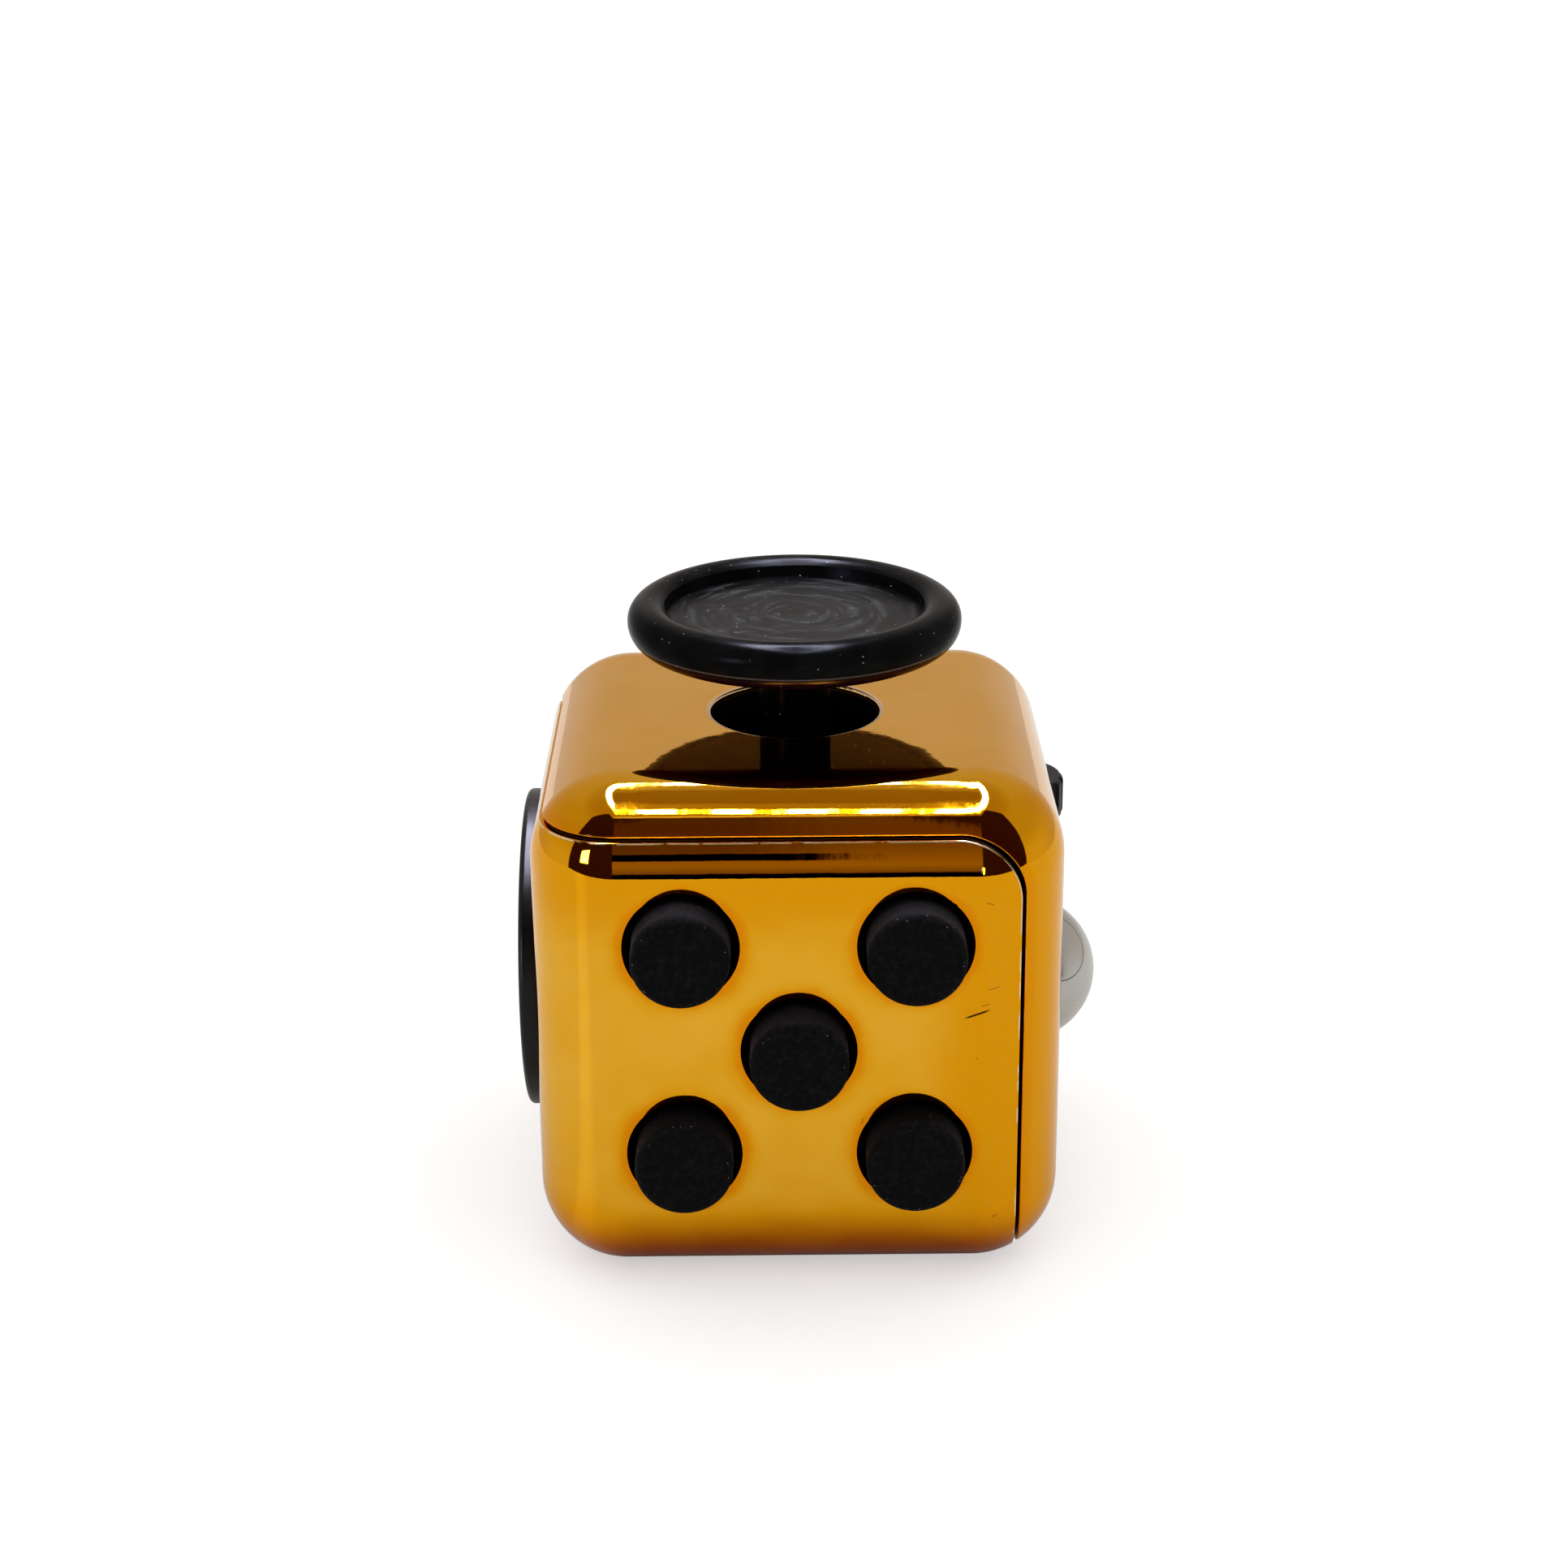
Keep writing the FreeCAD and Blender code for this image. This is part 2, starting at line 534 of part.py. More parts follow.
# ---------------------------------------------------------------- thumb stick
STICK_PLATE_Z = STICK_PIVOT_Z + 2.1
STICK_PLATE_TOP_Z = STICK_PLATE_Z + 1.4
STICK_FLANGE_Z = STICK_PLATE_Z - 1.2
STICK_FOOT_Z = STICK_PIVOT_Z - 6.4
STICK_SOCKET_Z = STICK_PIVOT_Z + 1.0
STICK_CENTRE = V(0, 0, STICK_PIVOT_Z)


def joystick_cap():
    """Cap and stem in one moulding: a dished cap with a fat rounded rim."""
    r, under, rim = CAP_R, CAP_UNDER_Z, CAP_RIM_Z
    widest = V(r, 0, CAP_WIDEST_Z)
    low = V(CAP_UNDER_R, 0, under)
    crest = V(CAP_CREST_R, 0, rim)
    dish_edge = V(CAP_DISH_R, 0, CAP_EDGE_Z)
    dish_low = V(CAP_DISH_R - CAP_DRAFT, 0, CAP_DISH_Z)
    edges = [
        Part.makeLine(V(0, 0, under), low),
        Part.Arc(low, V(r - 0.46, 0, under + 0.5), widest).toShape(),
        Part.Arc(widest, V(r - 0.39, 0, rim - 0.4), crest).toShape(),
        Part.Arc(crest, V(CAP_DISH_R + 0.45, 0, rim - 0.1), dish_edge).toShape(),
        Part.makeLine(dish_edge, dish_low),
        Part.makeLine(dish_low, V(0, 0, CAP_DISH_Z)),
        Part.makeLine(V(0, 0, CAP_DISH_Z), V(0, 0, under)),
    ]
    cap = turned(edges, V(0, 0, 0), Z)
    stem_foot = STICK_PIVOT_Z + STICK_STEM_FOOT
    stem = cyl(STICK_STEM_R, stem_foot, under + 0.5, "Z")
    neck = cyl(STICK_NECK_R, STICK_SOCKET_Z, stem_foot + 0.5, "Z")
    solid = join(cap, stem, neck)
    root = [e for e in solid.Edges if is_circle(e, STICK_STEM_R, under, "Z")]
    solid = solid.makeFillet(STICK_ROOT_R, root)
    return solid.cut(cyl(STICK_THREAD_R + PILOT, STICK_SOCKET_Z - 1, stem_foot, "Z"))


def joystick_ball():
    """Ball with a neck and a round foot that the return spring pushes on."""
    foot_top = STICK_FOOT_Z + STICK_FOOT_THICK
    neck = cyl(STICK_NECK_R, foot_top - 0.4, STICK_PIVOT_Z - 2.5, "Z")
    foot = cyl(STICK_FOOT_R, STICK_FOOT_Z, foot_top, "Z")
    solid = join(ball(STICK_BALL_R, STICK_CENTRE), neck, foot)
    socket = cyl(STICK_NECK_R + PILOT, STICK_SOCKET_Z, STICK_PIVOT_Z + 5, "Z")
    bore = cyl(STICK_THREAD_R + PILOT, STICK_FOOT_Z - 1, STICK_SOCKET_Z + 1, "Z")
    return solid.cut([socket, bore])


def joystick_screw():
    return screw(STICK_SCREW_SIZE, V(0, 0, STICK_FOOT_Z), Z)


def joystick_socket_ring():
    """Spherical ring between ball and housing: the stick tilts in it, and it tilts in the case."""
    slab = cyl(STICK_RING_R + 1, STICK_PIVOT_Z - STICK_RING_HALF, STICK_PIVOT_Z + STICK_RING_HALF, "Z")
    ring = ball(STICK_RING_R, STICK_CENTRE).common(slab)
    return ring.cut([ball(STICK_BALL_R + RUN, STICK_CENTRE), cyl(STICK_RING_BORE_R, 0, HALF, "Z")])


def square_plate(low, high):
    """A square plate with a screw hole near each corner."""
    half = PLATE_HALF
    plate = rounded_box((-half, -half, low), (half, half, high), PLATE_CORNER_R, "Z")
    return plate.cut([cyl(CLEAR_R, low - 1, high + 1, "Z", a, b) for a, b in corner_places(PLATE_SCREW)])


def stick_seat():
    return ball(STICK_RING_R + RUN, STICK_CENTRE)


def joystick_retainer():
    """Upper plate that holds the swivel ring down in its seat."""
    plate = square_plate(STICK_PLATE_Z, STICK_PLATE_TOP_Z)
    mouth = Part.makeCone(*STICK_MOUTH, V(0, 0, STICK_PLATE_Z))
    return plate.cut([stick_seat(), mouth])


def joystick_base():
    """Lower housing: a flange, the seat of the swivel ring and a well for the spring."""
    flange = square_plate(STICK_FLANGE_Z, STICK_PLATE_Z)
    solid = join(flange, cyl(BASE_R, BASE_FLOOR_Z - BASE_FLOOR, STICK_FLANGE_Z + 0.5, "Z"))
    well = cyl(WELL_R, BASE_FLOOR_Z, STICK_PIVOT_Z - 3.9, "Z")
    throat = cyl(STICK_THROAT_R, BASE_FLOOR_Z, STICK_PIVOT_Z, "Z")
    return solid.cut([stick_seat(), well, throat])


def joystick_return_spring():
    return coil(STICK_SPRING, STICK_FOOT_Z - BASE_FLOOR_Z, V(0, 0, BASE_FLOOR_Z), Z)


def joystick_screws():
    return Part.makeCompound(
        [screw(PLATE_SCREW_SIZE, V(a, b, STICK_FLANGE_Z), Z) for a, b in corner_places(PLATE_SCREW)])


# ---------------------------------------------------------------- rolling ball
def roll_ball():
    return ball(BALL_R, V(BALL_X, BALL_Y, 0))


def ball_cup():
    """Cup behind the ball; it swivels on its own pin."""
    cup = cyl(CUP_R, CUP_BACK_X, CUP_MOUTH_X, "X", BALL_Y, 0)
    pin = cyl(CUP_PIN_R, PLUNGER_BACK_X, CUP_BACK_X + 0.2, "X", BALL_Y, 0)
    return join(cup, pin).cut(ball(BALL_R + CUP_FIT, V(BALL_X, BALL_Y, 0)))


def ball_plunger():
    """Sliding disc that carries the cup and rests on the wave spring."""
    disc = cyl(PLUNGER_R, PLUNGER_BACK_X, CUP_BACK_X - 0.02, "X", BALL_Y, 0)
    return disc.cut(cyl(CUP_PIN_R + RUN, 0, HALF, "X", BALL_Y, 0))


def ball_spring():
    """A flat spiral of round wire that pushes the plunger out."""
    height = PLUNGER_BACK_X - BARREL_FLOOR_X
    return coil(BALL_SPRING, height, V(BARREL_FLOOR_X, BALL_Y, 0), X)


def frame_rib(z, half, end_x, low_y, high_y):
    return box((FRAME_BACK_X, low_y, z - half), (end_x, high_y, z + half))


def roll_frame():
    """Barrel of the ball, its flange, and the ribs that carry the axle of the gears."""
    barrel = cyl(BARREL_R, BARREL_FLOOR_X - 0.7, BARREL_END_X, "X", BALL_Y, 0)
    flange = rounded_box((FRAME_FLANGE_X,) + FRAME_FLANGE_LOW, (BARREL_END_X,) + FRAME_FLANGE_HIGH,
                         FRAME_FLANGE_R, "X")
    back = box((FRAME_BACK_X, FRAME_BACK_Y[0], -FRAME_BACK_HALF_Z),
               (FRAME_BACK_X + FRAME_BACK_THICK, FRAME_BACK_Y[1], FRAME_BACK_HALF_Z))
    ribs = [frame_rib(z, FRAME_END_RIB_HALF, FRAME_RIB_X, *FRAME_RIB_Y)
            for z in (-FRAME_END_RIB_Z, FRAME_END_RIB_Z)]
    for z in (-FRAME_RIB_Z, FRAME_RIB_Z):
        ribs.append(frame_rib(z, FRAME_RIB_HALF, FRAME_RIB_X, *FRAME_RIB_Y))
        ribs.append(frame_rib(z, FRAME_RIB_HALF, FRAME_LINK_X, FRAME_BACK_Y[0], FRAME_LINK_Y))
    bore = cyl(BALL_SEAT_R + 0.02, BARREL_FLOOR_X, BARREL_END_X + 1, "X", BALL_Y, 0)
    screw_holes = [cyl(CLEAR_R, FRAME_FLANGE_X - 1, BARREL_END_X + 1, "X", y, z)
                   for y, z in ball_frame_screw_places()]
    axle_hole = cyl(GEAR_AXLE_R + PILOT, -HALF, HALF, "Z", GEAR_X, GEAR_Y)
    return join(barrel, flange, back, *ribs).cut([bore, axle_hole] + screw_holes)


def roll_frame_screws():
    return Part.makeCompound(
        [screw(BALL_FRAME_SCREW_SIZE, V(FRAME_FLANGE_X, y, z), X) for y, z in ball_frame_screw_places()])


# ---------------------------------------------------------------- gear wheels
def gear(z):
    """A fat wheel with shallow rounded teeth, free on its axle."""
    half = GEAR_WIDTH / 2
    wheel = cyl(GEAR_R, z - half, z + half, "Z", GEAR_X, GEAR_Y)
    rims = [e for e in wheel.Edges if isinstance(e.Curve, Part.Circle)]
    wheel = wheel.makeFillet(GEAR_EDGE, rims)
    cuts = [cyl(GEAR_AXLE_R + RUN, z - 3, z + 3, "Z", GEAR_X, GEAR_Y)]
    for i in range(GEAR_TEETH):
        angle = 2 * math.pi * (i + 0.5) / GEAR_TEETH
        reach = GEAR_R + GEAR_NOTCH_OUT
        cuts.append(cyl(GEAR_NOTCH_R, z - 3, z + 3, "Z",
                        GEAR_X + reach * math.cos(angle), GEAR_Y + reach * math.sin(angle)))
    return wheel.cut(cuts)


def gear_axle():
    return cyl(GEAR_AXLE_R, -GEAR_AXLE_HALF, GEAR_AXLE_HALF, "Z", GEAR_X, GEAR_Y)


def gear_detent_springs():
    """One leaf per wheel, with a rib that the teeth click past."""
    leaves = []
    for z in GEARS.values():
        face = LEAF_X + LEAF_THICK
        leaf = box((LEAF_X, LEAF_Y[0], z - LEAF_HALF), (face, LEAF_Y[1], z + LEAF_HALF))
        rib = cyl(LEAF_RIB_R, z - LEAF_HALF, z + LEAF_HALF, "Z", face + 0.1, GEAR_Y)
        leaves.append(join(leaf, rib))
    return Part.makeCompound(leaves)


# ---------------------------------------------------------------- rocker switch
ROCKER_PIVOT = V(0, ROCKER_PIVOT_Y, 0)


def at_rest(solid):
    """Turn a rocker piece from the middle to the position that it rests in."""
    solid.rotate(ROCKER_PIVOT, X, -ROCKER_TILT)
    return solid


def flip_rocker():
    """Paddle with a V-shaped face, and a post that holds the spring and its plunger."""
    top, side, low = [ROCKER_PIVOT_Y + level for level in (ROCKER_TOP, ROCKER_SIDE, ROCKER_LOW)]
    outline = [
        V(-ROCKER_HALF_X, side, -ROCKER_HALF_Z),
        V(-ROCKER_HALF_X, top, 0),
        V(-ROCKER_HALF_X, side, ROCKER_HALF_Z),
        V(-ROCKER_HALF_X, low, ROCKER_HALF_Z),
        V(-ROCKER_HALF_X, low - 1.0, ROCKER_BELLY_HALF),
        V(-ROCKER_HALF_X, low - ROCKER_BELLY, 0),
        V(-ROCKER_HALF_X, low - 1.0, -ROCKER_BELLY_HALF),
        V(-ROCKER_HALF_X, low, -ROCKER_HALF_Z),
    ]
    paddle = Part.Face(Part.makePolygon(outline + [outline[0]])).extrude(V(2 * ROCKER_HALF_X, 0, 0))
    outer = [e for e in paddle.Edges if e.CenterOfMass.y > top - 0.01 and e.Length < 9
             and abs(e.CenterOfMass.z) > 0.1]
    paddle = paddle.makeFillet(ROCKER_EDGE, outer)
    post = cyl(ROCKER_POST_R, ROCKER_PIVOT_Y - ROCKER_POST, ROCKER_PIVOT_Y, "Y")
    solid = join(paddle, post)
    bore = cyl(ROCKER_PLUNGER_R + RUN, ROCKER_PIVOT_Y - 4, ROCKER_PIVOT_Y - ROCKER_BORE_TOP, "Y")
    hinge = cyl(ROCKER_PIN_R + ROCKER_PIN_FIT, -6, 6, "X", ROCKER_PIVOT_Y, 0)
    return at_rest(solid.cut([bore, hinge]))


def rocker_plunger():
    """Round-nosed pin that rides the track below the rocker."""
    nose = ROCKER_PIVOT_Y - ROCKER_TRACK_R + 0.1
    r = ROCKER_PLUNGER_R
    pin = cyl(r, nose + 0.5, ROCKER_PIVOT_Y - ROCKER_PLUNGER_HEAD, "Y")
    return at_rest(join(pin, ball(r, V(0, nose + r, 0)).common(cyl(1, nose, nose + 1, "Y"))))


def rocker_spring():
    place = V(0, ROCKER_PIVOT_Y - ROCKER_PLUNGER_HEAD, 0)
    return at_rest(coil(ROCKER_SPRING, ROCKER_SPRING_LENGTH, place, Y))


def rocker_pin():
    return cyl(ROCKER_PIN_R, -ROCKER_PIN_HALF, ROCKER_PIN_HALF, "X", ROCKER_PIVOT_Y, 0)


def rocker_housing():
    """Open tray behind the back wall: it carries the pin and the plunger's track."""
    low, top = TRAY_FLOOR_Y, INNER - TRAY_GAP
    tray = box((-TRAY_X, low, -TRAY_Z), (TRAY_X, top, TRAY_Z))
    ears = [box((-EAR_X, top - EAR_THICK, z - EAR_HALF), (EAR_X, top, z + EAR_HALF))
            for z in (-ROCKER_SCREW_Z, ROCKER_SCREW_Z)]
    solid = join(tray, *ears)
    room = box((-TRAY_ROOM_X, TRAY_ROOM_Y, -TRAY_ROOM_Z), (TRAY_ROOM_X, INNER + 1, TRAY_ROOM_Z))
    swing = cyl(ROCKER_TRACK_R, -TRACK_HALF_X, TRACK_HALF_X, "X", ROCKER_PIVOT_Y, 0).common(
        box((-3, low, -TRACK_HALF_Z), (3, ROCKER_PIVOT_Y, TRACK_HALF_Z)))
    pin_hole = cyl(ROCKER_PIN_R + PILOT, -7, 7, "X", ROCKER_PIVOT_Y, 0)
    holes = [cyl(CLEAR_R, 10, 16, "Y", x, z) for x, z in rocker_screw_places()]
    return solid.cut([room, swing, pin_hole] + holes)


def rocker_screws():
    under = INNER - TRAY_GAP - EAR_THICK
    return Part.makeCompound(
        [screw(ROCKER_SCREW_SIZE, V(x, under, z), Y) for x, z in rocker_screw_places()])


# ---------------------------------------------------------------- all the pieces
def all_pieces():
    pieces = {
        "front_shell": front_shell(),
        "rear_shell": rear_shell(),
        "worry_pad": worry_pad(),
        "case_screws": case_screws(),
        "button_backplate": button_backplate(),
        "button_plate_screws": button_plate_screws(),
        "spin_dial": spin_dial(),
        "dial_washer": dial_washer(),
        "dial_screw": dial_screw(),
        "joystick_cap": joystick_cap(),
        "joystick_ball": joystick_ball(),
        "joystick_screw": joystick_screw(),
        "joystick_socket_ring": joystick_socket_ring(),
        "joystick_retainer": joystick_retainer(),
        "joystick_base": joystick_base(),
        "joystick_return_spring": joystick_return_spring(),
        "joystick_screws": joystick_screws(),
        "roll_ball": roll_ball(),
        "ball_cup": ball_cup(),
        "ball_plunger": ball_plunger(),
        "ball_spring": ball_spring(),
        "roll_frame": roll_frame(),
        "roll_frame_screws": roll_frame_screws(),
        "gear_axle": gear_axle(),
        "gear_detent_springs": gear_detent_springs(),
        "flip_rocker": flip_rocker(),
        "rocker_pin": rocker_pin(),
        "rocker_housing": rocker_housing(),
        "rocker_plunger": rocker_plunger(),
        "rocker_spring": rocker_spring(),
        "rocker_screws": rocker_screws(),
    }
    for name, (a, b) in BUTTONS.items():
        pieces["button_" + name] = button(a, b)
        if name in SILENT_BUTTONS:
            pieces["rubber_dome_" + name] = dome(a, b, SILENT_DOME)
        else:
            pieces["click_dome_" + name] = dome(a, b, CLICK_DOME)
    for name, z in GEARS.items():
        pieces["gear_" + name] = gear(z)
    return pieces


os.makedirs("parts", exist_ok=True)
for node, shape in all_pieces().items():
    shape.translate(V(0, 0, HALF))
    shape.exportStep("parts/" + node + ".step")
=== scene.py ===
"""Fidget cube in gold-plated shells, on a pale floor inside a soft light tent."""

import json
import math

import bpy
from mathutils import Matrix, Vector

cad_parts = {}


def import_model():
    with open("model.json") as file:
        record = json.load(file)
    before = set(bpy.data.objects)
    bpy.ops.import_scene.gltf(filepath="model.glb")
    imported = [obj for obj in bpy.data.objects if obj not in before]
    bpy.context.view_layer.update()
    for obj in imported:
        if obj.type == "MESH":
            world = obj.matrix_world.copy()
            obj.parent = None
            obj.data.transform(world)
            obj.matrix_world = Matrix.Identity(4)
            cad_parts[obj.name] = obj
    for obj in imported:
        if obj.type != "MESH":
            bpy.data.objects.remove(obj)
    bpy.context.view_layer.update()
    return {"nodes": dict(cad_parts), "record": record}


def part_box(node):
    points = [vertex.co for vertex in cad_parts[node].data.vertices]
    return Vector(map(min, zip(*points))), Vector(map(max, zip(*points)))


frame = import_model()

MM = 0.001
HALF = 16.5 * MM            # half of the cube's side
CORNER = 11.0 * MM          # where the rounding of its edges begins, from the middle
CUBE_CENTRE = Vector((0, 0, HALF))
SEAM, SEAM_R = 13.7, 4.0    # parting planes from the middle, and the rounding where they meet


# ---------------------------------------------------------------- node helpers
class Nodes:
    """A short way to build a material's or the world's node tree."""

    def __init__(self, tree):
        self.tree = tree

    def add(self, kind, **values):
        """Add a node; values are attributes, or inputs when the name starts with in_."""
        node = self.tree.nodes.new(kind)
        for key, value in values.items():
            if key.startswith("in_"):
                self.feed(node.inputs[key[3:].replace("_", " ")], value)
            else:
                setattr(node, key, value)
        return node

    def feed(self, socket, value):
        if isinstance(value, bpy.types.NodeSocket):
            self.tree.links.new(value, socket)
        else:
            socket.default_value = value

    def math(self, operation, *values):
        node = self.add("ShaderNodeMath", operation=operation)
        for socket, value in zip(node.inputs, values):
            self.feed(socket, value)
        return node.outputs[0]

    def times(self, first, *others):
        """The product of two or more values."""
        for other in others:
            first = self.math("MULTIPLY", first, other)
        return first

    def plus(self, first, second):
        return self.math("ADD", first, second)

    def minus(self, first, second):
        return self.math("SUBTRACT", first, second)

    def size(self, value):
        """The value without its sign."""
        return self.math("ABSOLUTE", value)

    def larger(self, first, *others):
        """The largest of two or more values."""
        for other in others:
            first = self.math("MAXIMUM", first, other)
        return first

    def vector(self, operation, *values, output="Vector"):
        node = self.add("ShaderNodeVectorMath", operation=operation)
        for socket, value in zip(node.inputs, values):
            self.feed(socket, value)
        return node.outputs[output]

    def split(self, vector):
        return self.add("ShaderNodeSeparateXYZ", in_Vector=vector).outputs

    def step(self, value, low, high, reverse=False):
        """0 below low, 1 above high, and smooth between; or the other way round."""
        ends = (1.0, 0.0) if reverse else (0.0, 1.0)
        node = self.add("ShaderNodeMapRange", interpolation_type="SMOOTHSTEP")
        for socket, number in zip(node.inputs[:5], (value, low, high) + ends):
            self.feed(socket, number)
        return node.outputs[0]

    def spread(self, value, low, high):
        """Low where the value is 0, high where it is 1, and even between."""
        node = self.add("ShaderNodeMapRange", in_Value=value)
        node.inputs["To Min"].default_value = low
        node.inputs["To Max"].default_value = high
        return node.outputs[0]

    def mix(self, share, first, second):
        node = self.add("ShaderNodeMix", data_type="RGBA")
        self.feed(node.inputs["Factor"], share)
        self.feed(node.inputs[6], first)
        self.feed(node.inputs[7], second)
        return node.outputs[2]

    def mix_vector(self, share, first, second):
        node = self.add("ShaderNodeMix", data_type="VECTOR")
        self.feed(node.inputs["Factor"], share)
        self.feed(node.inputs[4], first)
        self.feed(node.inputs[5], second)
        return node.outputs[1]

    def noise(self, position, scale, detail=2.0, roughness=0.5, distortion=0.0):
        return self.add("ShaderNodeTexNoise", in_Vector=position, in_Scale=scale, in_Detail=detail,
                        in_Roughness=roughness, in_Distortion=distortion).outputs["Fac"]

    def specks(self, position, scale, size):
        """Small round dots, one to a cell: 1 inside a dot and 0 outside."""
        cells = self.add("ShaderNodeTexVoronoi", in_Vector=position, in_Scale=scale)
        return self.step(cells.outputs["Distance"], size * 0.6, size, reverse=True), cells.outputs["Color"]

    def bump(self, height, distance, normal=None):
        """A bump whose height is in steps of the distance, in millimetres."""
        node = self.add("ShaderNodeBump", in_Strength=1.0, in_Distance=distance * MM, in_Height=height)
        if normal is not None:
            self.feed(node.inputs["Normal"], normal)
        return node.outputs["Normal"]


def band(nodes, value, low, high, soft):
    """1 between low and high, with soft ends."""
    return nodes.times(nodes.step(value, low - soft, low + soft),
                       nodes.step(value, high - soft, high + soft, reverse=True))


def rgb(red, green, blue):
    return (red, green, blue, 1.0)


def new_material(name):
    """A material with a Principled shader. Returns the material, its nodes and the shader."""
    material = bpy.data.materials.new(name)
    material.use_nodes = True
    tree = material.node_tree
    tree.nodes.clear()
    nodes = Nodes(tree)
    shader = nodes.add("ShaderNodeBsdfPrincipled")
    output = nodes.add("ShaderNodeOutputMaterial")
    tree.links.new(shader.outputs[0], output.inputs["Surface"])
    return material, nodes, shader


def millimetres(nodes):
    """The position on the piece at rest, in millimetres in the part's frame."""
    place = nodes.add("ShaderNodeTexCoord").outputs["Object"]
    scaled = nodes.add("ShaderNodeVectorMath", operation="SCALE")
    nodes.feed(scaled.inputs[0], place)
    scaled.inputs["Scale"].default_value = 1 / MM
    return scaled.outputs[0]


# ---------------------------------------------------------------- materials
BUTTONS = [n for n in frame["nodes"] if n.startswith("button_") and "plate" not in n]


def button_centres():
    """The middle of each button, in millimetres."""
    centres = []
    for name in BUTTONS:
        low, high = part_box(name)
        centres.append((low + high) / 2 / MM)
    return centres


def past_core(nodes, place):
    """How far the place lies beyond the cube's core, and in which direction."""
    from_centre = nodes.vector("SUBTRACT", place, tuple(CUBE_CENTRE / MM))
    edge = CORNER / MM
    core = nodes.vector("MINIMUM", nodes.vector("MAXIMUM", from_centre, (-edge,) * 3), (edge,) * 3)
    outward = nodes.vector("SUBTRACT", from_centre, core)
    return nodes.vector("LENGTH", outward, output="Value"), outward


def reach(nodes, across, up):
    """Distance of a place from an axis, from its two offsets."""
    squares = nodes.plus(nodes.times(across, across), nodes.times(up, up))
    return nodes.math("SQRT", squares)


def near_button_holes(nodes, x, z):
    """Distance from the middle of the nearest button hole, seen from the front."""
    nearest = None
    for centre in button_centres():
        away = reach(nodes, nodes.minus(x, centre.x), nodes.minus(z, centre.z))
        nearest = away if nearest is None else nodes.math("MINIMUM", nearest, away)
    return nearest


def seam_side(nodes, place):
    """Signed distance from the parting line: below zero on the front shell."""
    past = nodes.vector("SUBTRACT", nodes.vector("SUBTRACT", place, tuple(CUBE_CENTRE / MM)), (SEAM,) * 3)
    lifted = nodes.vector("ADD", past, (SEAM_R,) * 3)
    outside = nodes.vector("LENGTH", nodes.vector("MAXIMUM", lifted, (0.0,) * 3), output="Value")
    a, b, c = nodes.split(lifted)
    within = nodes.math("MINIMUM", nodes.larger(a, b, c), 0.0)
    return nodes.minus(nodes.plus(outside, within), SEAM_R)


SCRATCHES = [               # middle across and up, half length, slope, half width
    (10.9, 18.9, 0.95, 0.35, 0.075),
    (11.4, 19.5, 0.35, 0.30, 0.02),
    (11.9, 20.6, 0.45, 0.25, 0.02),
    (11.6, 26.2, 0.30, -0.3, 0.02),
    (12.2, 4.9, 0.25, 0.5, 0.03),
    (-1.9, 13.1, 0.05, 0.0, 0.05),
    (10.9, 15.9, 0.05, 0.0, 0.04),
    (3.9, 11.7, 0.25, 4.0, 0.02),
]


def scratch(nodes, x, z, middle_x, middle_z, half, slope, thick):
    """One straight mark, by its middle, half its length, its slope and half its width."""
    size = math.hypot(1.0, slope)
    along_x, along_z = 1.0 / size, slope / size
    dx = nodes.minus(x, middle_x)
    dz = nodes.minus(z, middle_z)
    along = nodes.size(nodes.plus(nodes.times(dx, along_x), nodes.times(dz, along_z)))
    across = nodes.size(nodes.minus(nodes.times(dz, along_x), nodes.times(dx, along_z)))
    return nodes.times(nodes.step(along, half * 0.5, half, reverse=True),
                       nodes.step(across, thick * 0.6, thick, reverse=True))


def scratches(nodes, x, z, on_front):
    """A few short dark marks on the front face."""
    marks = [scratch(nodes, x, z, *placing) for placing in SCRATCHES]
    return nodes.times(nodes.larger(*marks), on_front)


FRONT = -HALF / MM          # the front and top faces, in millimetres
TOP = 2 * HALF / MM
STICK_HOLE_R = 5.55
GOLD_PALE = rgb(0.80, 0.43, 0.045)
GOLD_WARM = rgb(0.78, 0.40, 0.028)
# deeper orange: lacquer pooled at the holes, and painted shade toward the bottom edge
LACQUER_POOLING_AND_SHADE = rgb(0.745, 0.34, 0.005)
LACQUER_AT_HOLES = rgb(0.72, 0.24, 0.002)
LACQUER_AT_JOINT = rgb(0.74, 0.27, 0.002)
# painted shade at the foot, standing for the reflection of the contact shadow
PAINTED_FOOT_SHADE = rgb(0.42, 0.085, 0.001)
# painted highlight on the edge of the stick's hole
PAINTED_RIM_HIGHLIGHT = rgb(0.95, 0.80, 0.60)
# painted highlight along the edges of the parting line
PAINTED_JOINT_HIGHLIGHT = rgb(0.78, 0.62, 0.42)
SCRATCH_BROWN = rgb(0.05, 0.025, 0.01)
# painted shade: the inside of the shell is black for the dark depths of the holes
PAINTED_SHADE_INSIDE = rgb(0.02, 0.017, 0.014)


def below_top(nodes, z):
    """1 on the sides, fading to 0 at the top face."""
    return nodes.step(z, TOP - 1.6, TOP - 0.1, reverse=True)


